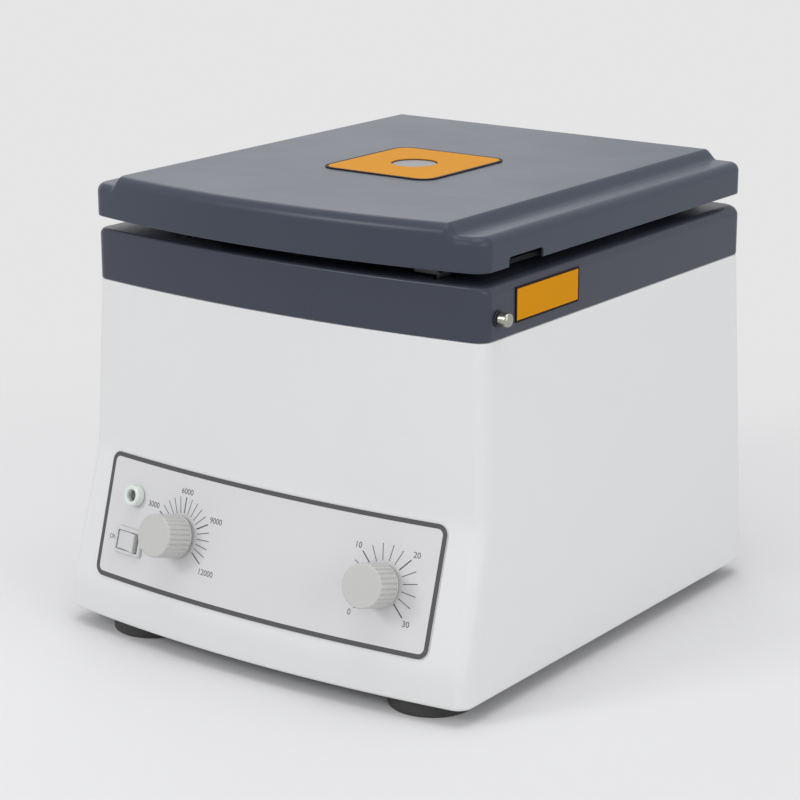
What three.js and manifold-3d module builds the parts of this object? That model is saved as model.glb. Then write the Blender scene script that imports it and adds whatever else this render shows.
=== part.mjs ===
// Bench hematocrit centrifuge: a moulded case on four rubber feet, a dark collar, and a lid hinged at the back.
// Under the lid a rotor for capillary tubes turns in a steel bowl, driven by a motor hung from the bowl's floor.
// Millimetres, +Z up, X across the front, -Y towards the user.
import * as THREE from "three";
import { mergeVertices } from "three/addons/utils/BufferGeometryUtils.js";
import Module from "manifold-3d";

const wasm = await Module();
wasm.setup();

// Clearances, and how finely round shapes are divided
const seatGap = 0.3; // between pieces that touch
const runningGap = 0.4; // round what turns or slides
const overrun = 6; // how far a cutter stands out of what it cuts
const fineSides = 32;
const roundSides = 20;
const smallSides = 12;
const bowSteps = 8;
const cornerSteps = 3;
const arcSteps = 2; // half the steps in each quarter of a rounded rectangle

// Case: plan at the seam under the collar, walls that lean out downwards, and a flared foot at the front
const seamHeight = 201.4;
const seamHalfWidth = 133;
const seamHalfDepth = 136.6;
const draftShare = 0.035; // lean of each wall per millimetre of height
const caseFloor = 9.5;
const seamBow = 10.5; // how far the middle of the front stands ahead of its corners
const toeBow = 11.2;
const flareTop = 104;
const flareFoot = 29.1;
const flareReach = 19.1;
const caseFrontRadius = 7.4;
const caseRearRadius = 8;
const caseWall = 3.5;
const caseLedge = 10; // width of the ledge inside the top that carries the collar
const toeRound = 2;

// Collar: the dark frame on the case, whose deck carries the bowl
const collarHeight = 29.2;
const collarRound = 6;
const deckThickness = 6;
const seatDepth = 2.6; // step in the deck for the bowl's rim

// Lid
const lidGap = 7; // from the collar's top to the lid's lower edge
const lidSideProud = 0.2; // how far the lid's sides stand out past the collar's
const lidFrontProud = 1.2; // how far its front corners stand ahead of the collar's
const lidRearSet = 1.9;
const lidBow = 15.3;
const lidWall = 3.5;
const flangeHeight = 18.7; // from the lower edge to the flange beside the raised field
const flangeRound = 5;
const fieldRise = 5.9;
const flangeWidth = 15.4; // flat flange beside the raised field
const fieldSide = 7.5; // width of the sloping side of the raised field
const fieldFrontRound = 6.5;
const lidFrontRadius = 8;
const lidRearRadius = 7;
const notchSet = 21.5; // from the case's front corners to the notch
const notchLength = 32.3;
const notchHeight = 5.4;
const notchRadius = 2;

// Inner lid, its light well and the window over the rotor
const linerSet = 12.4; // how far the tray stands in from the lid's sides
const linerFrontSet = 14;
const linerRearSet = 20;
const linerRadius = 16;
const linerDrop = 3.3; // how far the tray hangs below the lid's edge
const linerPlate = 2.5;
const wellRadius = 14;
const wellWall = 3;
const windowRadius = 16.5;
const windowThickness = 3;
const viewRadius = 13.3;
const lidLabelHalfWidth = 38;
const lidLabelHalfDepth = 41;
const lidLabelRadius = 10;
const labelThickness = 0.4;

// Rotor axis and chamber bowl
const axisY = -12;
const bowlRadius = 105;
const bowlWall = 1.5;
const bowlDepth = 80;
const bowlRimWidth = 7;
const bowlFloorRound = 8;
const bowlShaftHole = 13;
const sealWidth = 6.4;
const sealRound = 1.2;

// Rotor, its cover and nut
const rotorClearance = 10; // between the rotor and the bowl's wall
const rotorHeightOverFloor = 36; // rotor's underside above the bowl's floor
const rotorPlate = 8;
const rotorRimHeight = 8;
const rotorRimWidth = 5.5;
const slotCount = 24;
const slotWidth = 2.4;
const slotDepth = 2.6;
const slotInner = 17;
const hubRadius = 14;
const hubDrop = 12;
const tubeCushionWidth = 3;
const tubeCushionHeight = 5.5;
const coverThickness = 2;
const coverBossRadius = 12;
const coverLip = 1; // how far the cover stops short of the rotor's edge
const nutRadius = 13;
const nutHeight = 15;
const nutFlutes = 16;
const nutFluteDepth = 0.8;
const nutRoof = 3;

// Motor, hung from the bowl's floor on three rubber mounts
const shaftRadius = 4;
const mountHeight = 13.4;
const mountRadius = 8;
const mountCircle = 60;
const motorPlateThickness = 4;
const motorPlateRadius = 74;
const motorRadius = 42;
const motorRoom = 28.6; // under the motor, above the base plate
const motorWall = 3;
const endCapLength = 20;
const bearingRadius = 11;
const bearingWidth = 7;
const armatureRadius = 29;
const armatureShare = 2 / 3; // length of the wound core as a share of the motor's body
const armatureNeck = 12;
const shaftTail = 8; // how far the shaft stands out of the lower bearing
const studLength = 9; // shaft above the cover, inside the nut

// Feet and base plate
const basePlateThickness = 2;
const footRadius = 24;
const footTopRadius = 22.5;
const footShoulder = 2.2;
const footLeftSet = 39; // from the case's left, right, front and rear to the middle of each foot
const footRightSet = 30.5;
const footFrontSet = 17.2;
const footRearSet = 24.6;
const footCupRadius = 16;
const footCupDepth = 3.2;
const footBoreDepth = 4.6;
const screwHeadRadius = 4.6;
const screwHeadHeight = 3;
const screwRadius = 2.2;
const screwRise = 5;
const ventWidth = 4;
const ventLength = 66;
const ventPitch = 10;
const ventCount = 6;
const slotRoundShare = 0.49; // corner radius of a vent slot as a share of its width

// Control panel on the sloping front, and what is on it
const panelSideSet = 16.2; // from the case's side to the panel's
const panelFootSet = 4.9; // panel's lower and upper edges inside the sloping stretch
const panelTopSet = 0.4;
const panelRadius = 6;
const panelMargin = 1; // how far the bent sheet stands past the outline that trims it
const filmThickness = 0.4;
const knobRise = 33.3; // knobs' middle above the panel's lower edge
const speedSet = 60.9; // from the panel's left edge
const timerSet = 34.2; // from the panel's right edge
const knobRadius = 12.2;
const knobRimRadius = 12.4;
const knobRimHeight = 1.2;
const knobLength = 18;
const knobLift = 2.3;
const knobFlutes = 30;
const knobFluteDepth = 0.55;
const knobBevel = 1;
const knobHollowRadius = 8.6;
const knobHollowDepth = 4.6;
const spindleRadius = 3;
const spindleInKnob = 11;
const bushRadius = 4.7;
const bushNutRadius = 6.6;
const bushNutHeight = 2.6;
const potRadius = 12;
const potDepth = 16;
const timerHalfSize = 24;
const timerDepth = 30;
const lampSet = 24.4; // lamp and switch from the panel's left edge
const lampDrop = 21.4; // lamp below the panel's upper edge
const lampRadius = 6;
const lampLength = 6;
const lampRound = 1.8;
const lampBore = 3.3;
const lampBarrelRadius = 4.4;
const lampBarrelLength = 16;
const lampNutRadius = 6.5;
const lampNutHeight = 3;
const lampLensDepth = 2.6; // lens tip below the bezel's rim
const switchRise = 22.8; // switch above the panel's lower edge
const switchHalfWidth = 10.5;
const switchHalfHeight = 7.5;
const switchRim = 1.8;
const switchRadius = 1.6;
const switchBodyWall = 0.9;
const switchBodyDepth = 16;
const rockerHalfWidth = 7.9;
const rockerHalfHeight = 5.2;
const rockerTop = 2.2;
const rockerWing = 1.55; // rise of each wing's outer end
const rockerFoot = 3.6;
const rockerFootHalfWidth = 6.4;
const rockerSwing = THREE.MathUtils.degToRad(22);
const rockerWellWidth = 0.55;

// Release pin through the collar's right side, and the tongue it holds
const pinSet = 11.9; // from the case's front corners to the pin
const pinRise = 11.3; // pin above the collar's lower edge
const pinShaftRadius = 2.4;
const pinStemRadius = 3.4;
const pinHeadRadius = 3.8;
const pinHeadLength = 5.8;
const pinReach = 7.6; // how far the head stands out of the wall
const pinTravel = 6;
const pinCollarRadius = 4.2;
const pinCollarLength = 2;
const bushFlangeRadius = 4.6;
const bushFlange = 0.8;
const bushSleeveRadius = 3.4;
const bushSleeveLength = 9;
const springLength = 14;
const springWire = 0.45;
const springRadius = 3.5;
const springTurns = 6;
const tongueThickness = 2;
const tongueHalfWidth = 5;
const tongueSet = 35; // from the collar's side to the tongue's inner face
const tongueRise = 1.5; // tongue's end above the collar's lower edge
const tongueArm = 14;
const tongueArmGap = 1.3; // from the tongue's arm to the deck below it
const strikeRadius = 3.6;
const slotFrontRoom = 5; // room for the tongue's arc as the lid opens
const sideLabelSet = 15.7; // from the pin to the label
const sideLabelLength = 61.6;
const sideLabelRise = 5.7; // label above the collar's lower edge
const sideLabelHeight = 19.2;
const sideLabelRadius = 1.5;

// Hinges behind the collar
const hingeSet = 53; // from the case's side to the middle of each hinge
const hingeHalfLength = 20;
const knuckleRadius = 3.5;
const hingePinRadius = 1.5;
const hingeLeaf = 2;
const bracketDrop = 24; // how far the bracket reaches below the hinge axis
const leafRise = 17.5; // how far the lid's leaf reaches above the hinge axis

// Back wall: mains inlet, fuse holder and vents
const inletSet = 71; // from the case's right side
const inletHeight = 50;
const inletHalfWidth = 13.6;
const inletHalfHeight = 9.8;
const inletFlangeHalfWidth = 25;
const inletFlangeHalfHeight = 12;
const inletFlange = 3;
const inletDepth = 24;
const inletWall = 1.7;
const inletFloor = 4;
const inletRadius = 4;
const pinPitch = 7;
const pinRaise = 3;
const bladeWidth = 2;
const bladeHeight = 4;
const bladeFree = 5.4; // from the blades' tips to the inlet's mouth
const stripDepth = 3;
const fuseSet = 29; // from the case's right side
const fuseRadius = 7;
const fuseFlangeRadius = 9;
const fuseFlange = 2;
const fuseDepth = 30;
const fuseBore = 4.6;
const fuseCapRadius = 6.2;
const fuseCapLength = 6;
const fuseStemLength = 6;
const fuseLinkRadius = 2.6;
const fuseLinkLength = 18;
const rearVentSet = 83; // from the case's left side to the middle of the vents
const rearVentHeight = 60;
const rearVentLength = 60;

// Control board on the base plate
const boardSideSet = 15; // from the case's left side and rear to the board's edges
const boardRearSet = 32.6;
const boardWidth = 66;
const boardDepth = 86;
const boardThickness = 1.6;
const boardStand = 8;
const boardPostRadius = 3.5;
const boardPostInset = 7;
const sinkWidth = 12;
const sinkDepth = 50;
const sinkHeight = 26;
const canRadius = 9;
const canHeight = 22;
const terminalWidth = 10;
const terminalDepth = 44;
const terminalHeight = 10;

// Places across and along the case, worked out from the sizes above
const lidHalfWidth = seamHalfWidth + lidSideProud;
const lidFront = seamHalfDepth + lidFrontProud;
const lidRear = seamHalfDepth - lidRearSet;
const fieldHalfWidth = lidHalfWidth - flangeWidth - fieldSide;
const notchFront = notchSet - seamHalfDepth;
const notchRear = notchFront + notchLength;
const rotorRadius = bowlRadius - rotorClearance;
const footLeftX = footLeftSet - seamHalfWidth;
const footRightX = seamHalfWidth - footRightSet;
const footFrontY = footFrontSet - seamHalfDepth - flareReach;
const footRearY = seamHalfDepth - footRearSet;
const panelHalfWidth = seamHalfWidth - panelSideSet;
const panelFoot = flareFoot + panelFootSet;
const panelTop = flareTop - panelTopSet;
const knobHeight = panelFoot + knobRise;
const speedX = speedSet - panelHalfWidth;
const timerX = panelHalfWidth - timerSet;
const lampX = lampSet - panelHalfWidth;
const lampHeight = panelTop - lampDrop;
const switchHeight = panelFoot + switchRise;
const pinY = pinSet - seamHalfDepth;
const tongueX = seamHalfWidth - tongueSet;
const sideLabelFront = pinY + sideLabelSet;
const sideLabelRear = sideLabelFront + sideLabelLength;
const hingeX = seamHalfWidth - hingeSet;
const inletX = seamHalfWidth - inletSet;
const fuseX = seamHalfWidth - fuseSet;
const rearVentX = rearVentSet - seamHalfWidth;
const boardX = boardSideSet - seamHalfWidth;
const boardY = seamHalfDepth - boardRearSet - boardDepth;

// Heights worked out from the sizes above
const collarFloor = seamHeight + seatGap;
const collarTop = collarFloor + collarHeight;
const lidFloor = collarTop + lidGap;
const flangeTop = lidFloor + flangeHeight;
const lidTop = flangeTop + fieldRise;
const linerFloor = lidFloor - linerDrop;
const bowlRimFloor = collarTop - seatDepth + seatGap;
const bowlFloor = bowlRimFloor + bowlWall - bowlDepth;
const rotorFloor = bowlFloor + rotorHeightOverFloor;
const rotorDeck = rotorFloor + rotorPlate;
const rotorTop = rotorDeck + rotorRimHeight;
const coverTop = rotorTop + seatGap + coverThickness;
const motorPlateTop = bowlFloor - bowlWall - mountHeight - 2 * seatGap;
const motorTop = motorPlateTop - motorPlateThickness - seatGap;
const motorFoot = caseFloor + basePlateThickness + motorRoom + endCapLength;
const armatureLength = armatureShare * (motorTop - motorFoot);
const hingeY = seamHalfDepth + seatGap + knuckleRadius;
const hingeHeight = collarTop + lidGap / 2;
const filmTop = seatGap + filmThickness;
const pinHeight = collarFloor + pinRise;
const tongueFoot = collarFloor + tongueRise;
const sideLabelFoot = collarFloor + sideLabelRise;
const sideLabelTop = sideLabelFoot + sideLabelHeight;

// Joins the vertices of a closed shape, drops faces of no area and makes a solid whose faces point out.
function solid(geometry) {
  const bare = new THREE.BufferGeometry();
  bare.setAttribute("position", geometry.getAttribute("position"));
  bare.setIndex(geometry.index);
  const merged = mergeVertices(bare);
  const corners = merged.index.array;
  const kept = [];
  for (let i = 0; i < corners.length; i += 3) {
    const [a, b, c] = corners.slice(i, i + 3);
    if (a !== b && b !== c && c !== a) kept.push(a, b, c);
  }
  const build = (triangles) =>
    new wasm.Manifold(
      new wasm.Mesh({
        numProp: 3,
        vertProperties: merged.getAttribute("position").array,
        triVerts: new Uint32Array(triangles),
      }),
    );
  const made = build(kept);
  return made.volume() < 0 ? build(kept.reverse()) : made;
}

function join(first, ...others) {
  return others.reduce((whole, other) => whole.add(other), first);
}

function cut(whole, ...tools) {
  return tools.reduce((rest, tool) => rest.subtract(tool), whole);
}

// A block between two corners.
function block(x0, x1, y0, y1, z0, z1) {
  const box = new THREE.BoxGeometry(x1 - x0, y1 - y0, z1 - z0);
  return solid(box.translate((x0 + x1) / 2, (y0 + y1) / 2, (z0 + z1) / 2));
}

// A round bar along Z, standing on a height.
function bar(radius, foot, top, x = 0, y = 0, sides = smallSides) {
  const cylinder = new THREE.CylinderGeometry(radius, radius, top - foot, sides);
  cylinder.rotateX(Math.PI / 2);
  return solid(cylinder.translate(x, y, (foot + top) / 2));
}

// A turned solid about the Z axis, from [radius, height] pairs that start and end on the axis or close.
function turned(profile, sides = roundSides) {
  const points = profile.map(([radius, height]) => new THREE.Vector2(radius, height));
  return solid(new THREE.LatheGeometry(points, sides).rotateX(Math.PI / 2));
}

// A turned ring, whose profile is closed here.
function ring(profile, sides = roundSides) {
  return turned([...profile, profile[0]], sides);
}

// A rectangle with round corners, centred on x and y.
function roundedShape(halfWidth, halfHeight, radius, x = 0, y = 0) {
  const shape = new THREE.Shape();
  const corners = [
    [halfWidth, -halfHeight, -Math.PI / 2],
    [halfWidth, halfHeight, 0],
    [-halfWidth, halfHeight, Math.PI / 2],
    [-halfWidth, -halfHeight, Math.PI],
  ];
  for (const [cx, cy, start] of corners) {
    const centreX = x + cx - Math.sign(cx) * radius;
    const centreY = y + cy - Math.sign(cy) * radius;
    shape.absarc(centreX, centreY, radius, start, start + Math.PI / 2, false);
  }
  shape.closePath();
  return shape;
}

// A flat shape thickened along Z from one height to another.
function slab(shape, foot, top, curveSegments = arcSteps) {
  const options = { depth: top - foot, bevelEnabled: false, curveSegments };
  return solid(new THREE.ExtrudeGeometry(shape, options).translate(0, 0, foot));
}

// Plan outline of a level of the case, collar or lid, anticlockwise from the front left corner.
// Its front bows forward as a parabola, and each corner is a curve tangent to its two sides.
function planOutline({ half, front, rear, bow, bowHalf, frontRadius, rearRadius }) {
  const outline = [];
  const end = half - frontRadius;
  const frontAt = (x) => -front - bow * (1 - (x / bowHalf) ** 2);
  const slope = (2 * bow * end) / bowHalf ** 2;
  const cornerY = frontAt(end) + slope * frontRadius;
  const corner = (from, by, to) => {
    const curve = new THREE.QuadraticBezierCurve(...[from, by, to].map(([x, y]) => new THREE.Vector2(x, y)));
    outline.push(...curve.getPoints(cornerSteps));
  };
  for (let i = 1; i < bowSteps; i++) {
    const x = THREE.MathUtils.lerp(-end, end, i / bowSteps);
    outline.push(new THREE.Vector2(x, frontAt(x)));
  }
  corner([end, frontAt(end)], [half, cornerY], [half, cornerY + frontRadius]);
  corner([half, rear - rearRadius], [half, rear], [half - rearRadius, rear]);
  corner([rearRadius - half, rear], [-half, rear], [-half, rear - rearRadius]);
  corner([-half, cornerY + frontRadius], [-half, cornerY], [-end, frontAt(end)]);
  return outline;
}

// A closed shape through plan outlines with the same number of points, from the lowest level up.
function loft(levels) {
  const count = levels[0].outline.length;
  const positions = levels.flatMap(({ outline, z }) => outline.flatMap((p) => [p.x, p.y, z]));
  const faces = [];
  for (let level = 0; level + 1 < levels.length; level++) {
    for (let i = 0; i < count; i++) {
      const next = (i + 1) % count;
      const low = level * count;
      const high = low + count;
      faces.push(low + i, low + next, high + next, low + i, high + next, high + i);
    }
  }
  const last = (levels.length - 1) * count;
  for (const [a, b, c] of THREE.ShapeUtils.triangulateShape(levels[0].outline, [])) {
    faces.push(c, b, a);
  }
  for (const [a, b, c] of THREE.ShapeUtils.triangulateShape(levels.at(-1).outline, [])) {
    faces.push(last + a, last + b, last + c);
  }
  const geometry = new THREE.BufferGeometry();
  geometry.setAttribute("position", new THREE.Float32BufferAttribute(positions, 3));
  return solid(geometry.setIndex(faces));
}

// A gear-like outline with shallow round flutes, for knobs.
function flutedShape(radius, flutes, depth) {
  const points = [];
  const stepsPerFlute = 3;
  for (let i = 0; i < flutes * stepsPerFlute; i++) {
    const angle = (2 * Math.PI * i) / (flutes * stepsPerFlute);
    const r = radius - (depth * (1 - Math.cos(flutes * angle))) / 2;
    points.push(new THREE.Vector2(r * Math.cos(angle), r * Math.sin(angle)));
  }
  return new THREE.Shape(points);
}

function moved(made, matrix) {
  return made.transform(matrix.elements);
}

function meshOf(name, made, color, roughness, metalness = 0) {
  const found = made.getMesh();
  const geometry = new THREE.BufferGeometry();
  geometry.setAttribute("position", new THREE.BufferAttribute(found.vertProperties, 3));
  geometry.setIndex(new THREE.BufferAttribute(found.triVerts, 1));
  geometry.computeVertexNormals();
  const mesh = new THREE.Mesh(geometry, new THREE.MeshStandardMaterial({ color, roughness, metalness }));
  mesh.name = name;
  return mesh;
}

// Finishes
const pearl = [0xdcdddc, 0.5];
const slate = [0x434752, 0.45];
const lidGrey = [0x5c6472, 0.4];
const blackPlastic = [0x1c1d1f, 0.55];
const rubber = [0x262626, 0.85];
const knobGrey = [0xc6c8c4, 0.5];
const amber = [0xdea030, 0.5];
const steel = [0xb9bcc0, 0.3, 1];
const castAluminium = [0xa9acb0, 0.45, 1];
const chrome = [0xd8d8d6, 0.15, 1];
const boardGreen = [0x1f5b36, 0.6];
const clear = [0xd7dfe2, 0.1];
const paleGreen = [0xcfdccb, 0.35];
const copper = [0xa86a3c, 0.4, 1];

const fallBelowSeam = (z) => seamHeight - z;
const bowAt = (z) => seamBow + ((toeBow - seamBow) * fallBelowSeam(z)) / (seamHeight - caseFloor);
const flareAt = (z) =>
  flareReach * THREE.MathUtils.clamp((flareTop - z) / (flareTop - flareFoot), 0, 1);

// Sizes of the case's plan at a height, drawn in by an inset.
function casePlan(z, inset = 0) {
  const lean = draftShare * fallBelowSeam(z);
  return {
    half: seamHalfWidth + lean - inset,
    front: seamHalfDepth + lean + flareAt(z) - inset,
    rear: seamHalfDepth + lean - inset,
    bow: bowAt(z),
    bowHalf: seamHalfWidth + lean,
    frontRadius: caseFrontRadius - Math.min(inset, caseFrontRadius) / 2,
    rearRadius: caseRearRadius - Math.min(inset, caseRearRadius) / 2,
  };
}

function caseLevel(z, inset = 0, height = z) {
  return { outline: planOutline(casePlan(z, inset)), z: height };
}

// Place on the sloping front at x and height z: Z points out of the face, X across it and Y up it.
function panelSpot(x, z) {
  const plan = casePlan(z);
  const share = 1 - (x / plan.half) ** 2;
  const y = -plan.front - plan.bow * share;
  const bowFall = (toeBow - seamBow) / (seamHeight - caseFloor);
  const rise = draftShare + flareReach / (flareTop - flareFoot) + bowFall * share;
  const across = new THREE.Vector3(1, (2 * plan.bow * x) / plan.half ** 2, 0).normalize();
  const out = across.clone().cross(new THREE.Vector3(0, rise, 1)).normalize();
  const up = out.clone().cross(across);
  return new THREE.Matrix4().makeBasis(across, up, out).setPosition(x, y, z);
}

// Place on the back wall: Z points out of the wall, X to the left seen from the front and Y up it.
function rearSpot(x, z) {
  const left = new THREE.Vector3(-1, 0, 0);
  const out = new THREE.Vector3(0, 1, draftShare).normalize();
  const up = out.clone().cross(left);
  return new THREE.Matrix4().makeBasis(left, up, out).setPosition(x, casePlan(z).rear, z);
}

// A group that stands at a place and holds pieces made in that place's own axes.
function placed(matrix, ...pieces) {
  const group = new THREE.Group();
  matrix.decompose(group.position, group.quaternion, group.scale);
  return pieces.length ? group.add(...pieces) : group;
}

const speedSpot = panelSpot(speedX, knobHeight);
const timerSpot = panelSpot(timerX, knobHeight);
const lampSpot = panelSpot(lampX, lampHeight);
const switchSpot = panelSpot(lampX, switchHeight);
const inletSpot = rearSpot(inletX, inletHeight);
const fuseSpot = rearSpot(fuseX, inletHeight);
const behindWall = -caseWall - seatGap;

// Cutters for everything that passes through the panel, used on the case and on its film alike.
function panelCutters() {
  const reach = caseWall + overrun;
  const shaftHole = bar(bushRadius + seatGap, -reach, reach);
  const lampHole = bar(lampBarrelRadius + seatGap, -reach, reach);
  const halfWidth = rockerWellHalfWidth + switchBodyWall + seatGap;
  const halfHeight = rockerWellHalfHeight + switchBodyWall + seatGap;
  const switchHole = block(-halfWidth, halfWidth, -halfHeight, halfHeight, -reach, reach);
  return [
    moved(shaftHole, speedSpot),
    moved(shaftHole, timerSpot),
    moved(lampHole, lampSpot),
    moved(switchHole, switchSpot),
  ];
}

// The well inside the switch clears the rocker as it swings.
const rockerWellHalfWidth = rockerHalfWidth + rockerWellWidth + runningGap;
const rockerWellHalfHeight = rockerHalfHeight + runningGap;

// Slots side by side along X, each running along Y.
function ventSlots(count, pitch, width, length, foot, top) {
  return Array.from({ length: count }, (_, i) => {
    const x = (i - (count - 1) / 2) * pitch;
    return slab(roundedShape(width / 2, length / 2, slotRoundShare * width, x), foot, top, 1);
  });
}

function mainHousing() {
  const toe = caseFloor + toeRound;
  const outside = loft([
    caseLevel(caseFloor, toeRound),
    caseLevel(toe),
    caseLevel(flareFoot),
    caseLevel(flareTop),
    caseLevel(seamHeight),
  ]);
  const roof = seamHeight - caseWall;
  const inside = loft([
    caseLevel(caseFloor, caseWall, caseFloor - overrun),
    caseLevel(flareFoot, caseWall),
    caseLevel(flareTop, caseWall),
    caseLevel(roof, caseWall),
  ]);
  const well = loft([
    caseLevel(seamHeight, caseWall + caseLedge, roof - overrun),
    caseLevel(seamHeight, caseWall + caseLedge, seamHeight + overrun),
  ]);
  const reach = caseWall + overrun;
  const inletHole = block(
    -inletHalfWidth - seatGap,
    inletHalfWidth + seatGap,
    -inletHalfHeight - seatGap,
    inletHalfHeight + seatGap,
    -reach,
    reach,
  );
  const fuseHole = bar(fuseRadius + seatGap, -reach, reach);
  const vents = ventSlots(ventCount, ventPitch, ventWidth, rearVentLength, -reach, reach);
  const ventSpot = rearSpot(rearVentX, rearVentHeight + rearVentLength / 2);
  return cut(
    outside,
    inside,
    well,
    ...panelCutters(),
    moved(inletHole, inletSpot),
    moved(fuseHole, fuseSpot),
    ...vents.map((slot) => moved(slot, ventSpot)),
  );
}

function basePlate() {
  const inset = caseWall + seatGap;
  const plate = loft([
    caseLevel(caseFloor, inset),
    caseLevel(caseFloor, inset, caseFloor + basePlateThickness),
  ]);
  const above = caseFloor + basePlateThickness + overrun;
  const holes = footSpots().map(([x, y]) => bar(screwRadius + seatGap, caseFloor - overrun, above, x, y));
  const vents = ventSlots(ventCount, ventPitch, ventWidth, ventLength, caseFloor - overrun, above);
  const underMotor = new THREE.Matrix4().makeTranslation(0, axisY, 0);
  return cut(plate, ...holes, ...vents.map((slot) => moved(slot, underMotor)));
}

function footSpots() {
  return [
    [footLeftX, footFrontY, "front_left"],
    [footRightX, footFrontY, "front_right"],
    [footLeftX, footRearY, "rear_left"],
    [footRightX, footRearY, "rear_right"],
  ];
}

// Rubber foot with a hollow cup underneath and a bore for its screw.
function foot() {
  const top = caseFloor - seatGap;
  const bore = screwRadius + seatGap;
  const headBore = screwHeadRadius + seatGap;
  return ring([
    [bore, footBoreDepth],
    [headBore, footBoreDepth],
    [headBore, footCupDepth],
    [footCupRadius, 0],
    [footRadius, 0],
    [footRadius, top - footShoulder],
    [footTopRadius, top],
    [bore, top],
  ]);
}

function footScrew() {
  const headTop = footBoreDepth - seatGap;
  const headFoot = headTop - screwHeadHeight;
  const tip = caseFloor + basePlateThickness + screwRise;
  return turned(
    [
      [0, headFoot],
      [screwHeadRadius, headFoot],
      [screwHeadRadius, headTop],
      [screwRadius, headTop],
      [screwRadius, tip],
      [0, tip],
    ],
    smallSides,
  );
}

function collarLevel(inset, height) {
  return caseLevel(seamHeight, inset, height);
}

// Levels of a rounded upper edge: a quarter circle drawn in over its own radius.
function roundedLevels(levelAt, radius, top) {
  return Array.from({ length: cornerSteps + 1 }, (_, i) => {
    const angle = (i / cornerSteps) * (Math.PI / 2);
    return levelAt(radius * (1 - Math.cos(angle)), top - radius + radius * Math.sin(angle));
  });
}

function upperCollar() {
  const outside = loft([
    collarLevel(0, collarFloor),
    ...roundedLevels(collarLevel, collarRound, collarTop),
  ]);
  const underDeck = collarTop - deckThickness;
  const inside = loft([
    collarLevel(caseWall, collarFloor - overrun),
    collarLevel(caseWall, underDeck),
  ]);
  const bowlHole = bar(
    bowlRadius + bowlWall + seatGap,
    underDeck - overrun,
    collarTop + overrun,
    0,
    axisY,
    fineSides,
  );
  const rimSeat = bar(
    bowlRadius + bowlRimWidth + seatGap,
    collarTop - seatDepth,
    collarTop + overrun,
    0,
    axisY,
    fineSides,
  );
  const tongueSlot = block(
    tongueX - tongueThickness,
    tongueX + 2 * tongueThickness,
    pinY - tongueHalfWidth - slotFrontRoom,
    pinY + tongueHalfWidth + tongueThickness,
    underDeck - overrun,
    collarTop + overrun,
  );
  const reach = caseWall + overrun;
  const pinHole = bar(bushSleeveRadius + seatGap, -reach, reach);
  return cut(outside, inside, bowlHole, rimSeat, tongueSlot, moved(pinHole, pinSpot));
}

// Place on the collar's right side where the release pin comes out: Z points out of the wall.
const pinSpot = new THREE.Matrix4()
  .makeBasis(new THREE.Vector3(0, 1, 0), new THREE.Vector3(0, 0, 1), new THREE.Vector3(1, 0, 0))
  .setPosition(seamHalfWidth, pinY, pinHeight);

// Film on the sloping front, bent to the face, with the panel's cut-outs.
function controlPanel() {
  const columns = 2 * bowSteps;
  const rows = 1;
  const sheetHalf = panelHalfWidth + panelMargin;
  const corners = [];
  for (const lift of [seatGap, filmTop]) {
    for (let row = 0; row <= rows; row++) {
      for (let column = 0; column <= columns; column++) {
        const x = THREE.MathUtils.lerp(-sheetHalf, sheetHalf, column / columns);
        const z = THREE.MathUtils.lerp(panelFoot - panelMargin, panelTop + panelMargin, row / rows);
        const point = new THREE.Vector3(0, 0, lift).applyMatrix4(panelSpot(x, z));
        corners.push(point.x, point.y, point.z);
      }
    }
  }
  const sheet = closedGrid(corners, columns, rows);
  const middle = (panelFoot + panelTop) / 2;
  const outline = roundedShape(panelHalfWidth, (panelTop - panelFoot) / 2, panelRadius, 0, middle);
  const reach = seamHalfDepth + flareReach + toeBow;
  const prism = moved(
    slab(outline, 0, 2 * reach),
    new THREE.Matrix4().makeRotationX(Math.PI / 2),
  );
  return cut(sheet.intersect(prism), ...panelCutters());
}

// A closed body between two grids of points, the inner one first.
function closedGrid(corners, columns, rows) {
  const width = columns + 1;
  const layer = width * (rows + 1);
  const faces = [];
  const quad = (a, b, c, d) => faces.push(a, b, c, a, c, d);
  for (let row = 0; row < rows; row++) {
    for (let column = 0; column < columns; column++) {
      const a = row * width + column;
      quad(a, a + width, a + width + 1, a + 1);
      quad(layer + a, layer + a + 1, layer + a + width + 1, layer + a + width);
    }
  }
  for (let column = 0; column < columns; column++) {
    const top = rows * width + column;
    quad(column, column + 1, layer + column + 1, layer + column);
    quad(top + 1, top, layer + top, layer + top + 1);
  }
  for (let row = 0; row < rows; row++) {
    const left = row * width;
    const right = left + columns;
    quad(left + width, left, layer + left, layer + left + width);
    quad(right, right + width, layer + right + width, layer + right);
  }
  const geometry = new THREE.BufferGeometry();
  geometry.setAttribute("position", new THREE.Float32BufferAttribute(corners, 3));
  return solid(geometry.setIndex(faces));
}

// Threaded bush with its nut, standing through the panel from a part behind it.
function panelBush() {
  const body = bar(bushRadius, behindWall - seatGap, filmTop + bushNutHeight);
  const nut = bar(bushNutRadius, filmTop + seatGap, filmTop + seatGap + bushNutHeight, 0, 0, 6);
  return join(body, nut);
}

function spindleBore(depth) {
  return bar(spindleRadius + runningGap, behindWall - depth, filmTop + overrun);
}

function speedPotentiometer() {
  const can = bar(potRadius, behindWall - potDepth, behindWall);
  return cut(join(can, panelBush()), spindleBore(potDepth / 2));
}

function timerMechanism() {
  const size = timerHalfSize;
  const can = block(-size, size, -size, size, behindWall - timerDepth, behindWall);
  return cut(join(can, panelBush()), spindleBore(potDepth / 2));
}

const knobFoot = filmTop + knobLift;

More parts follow.
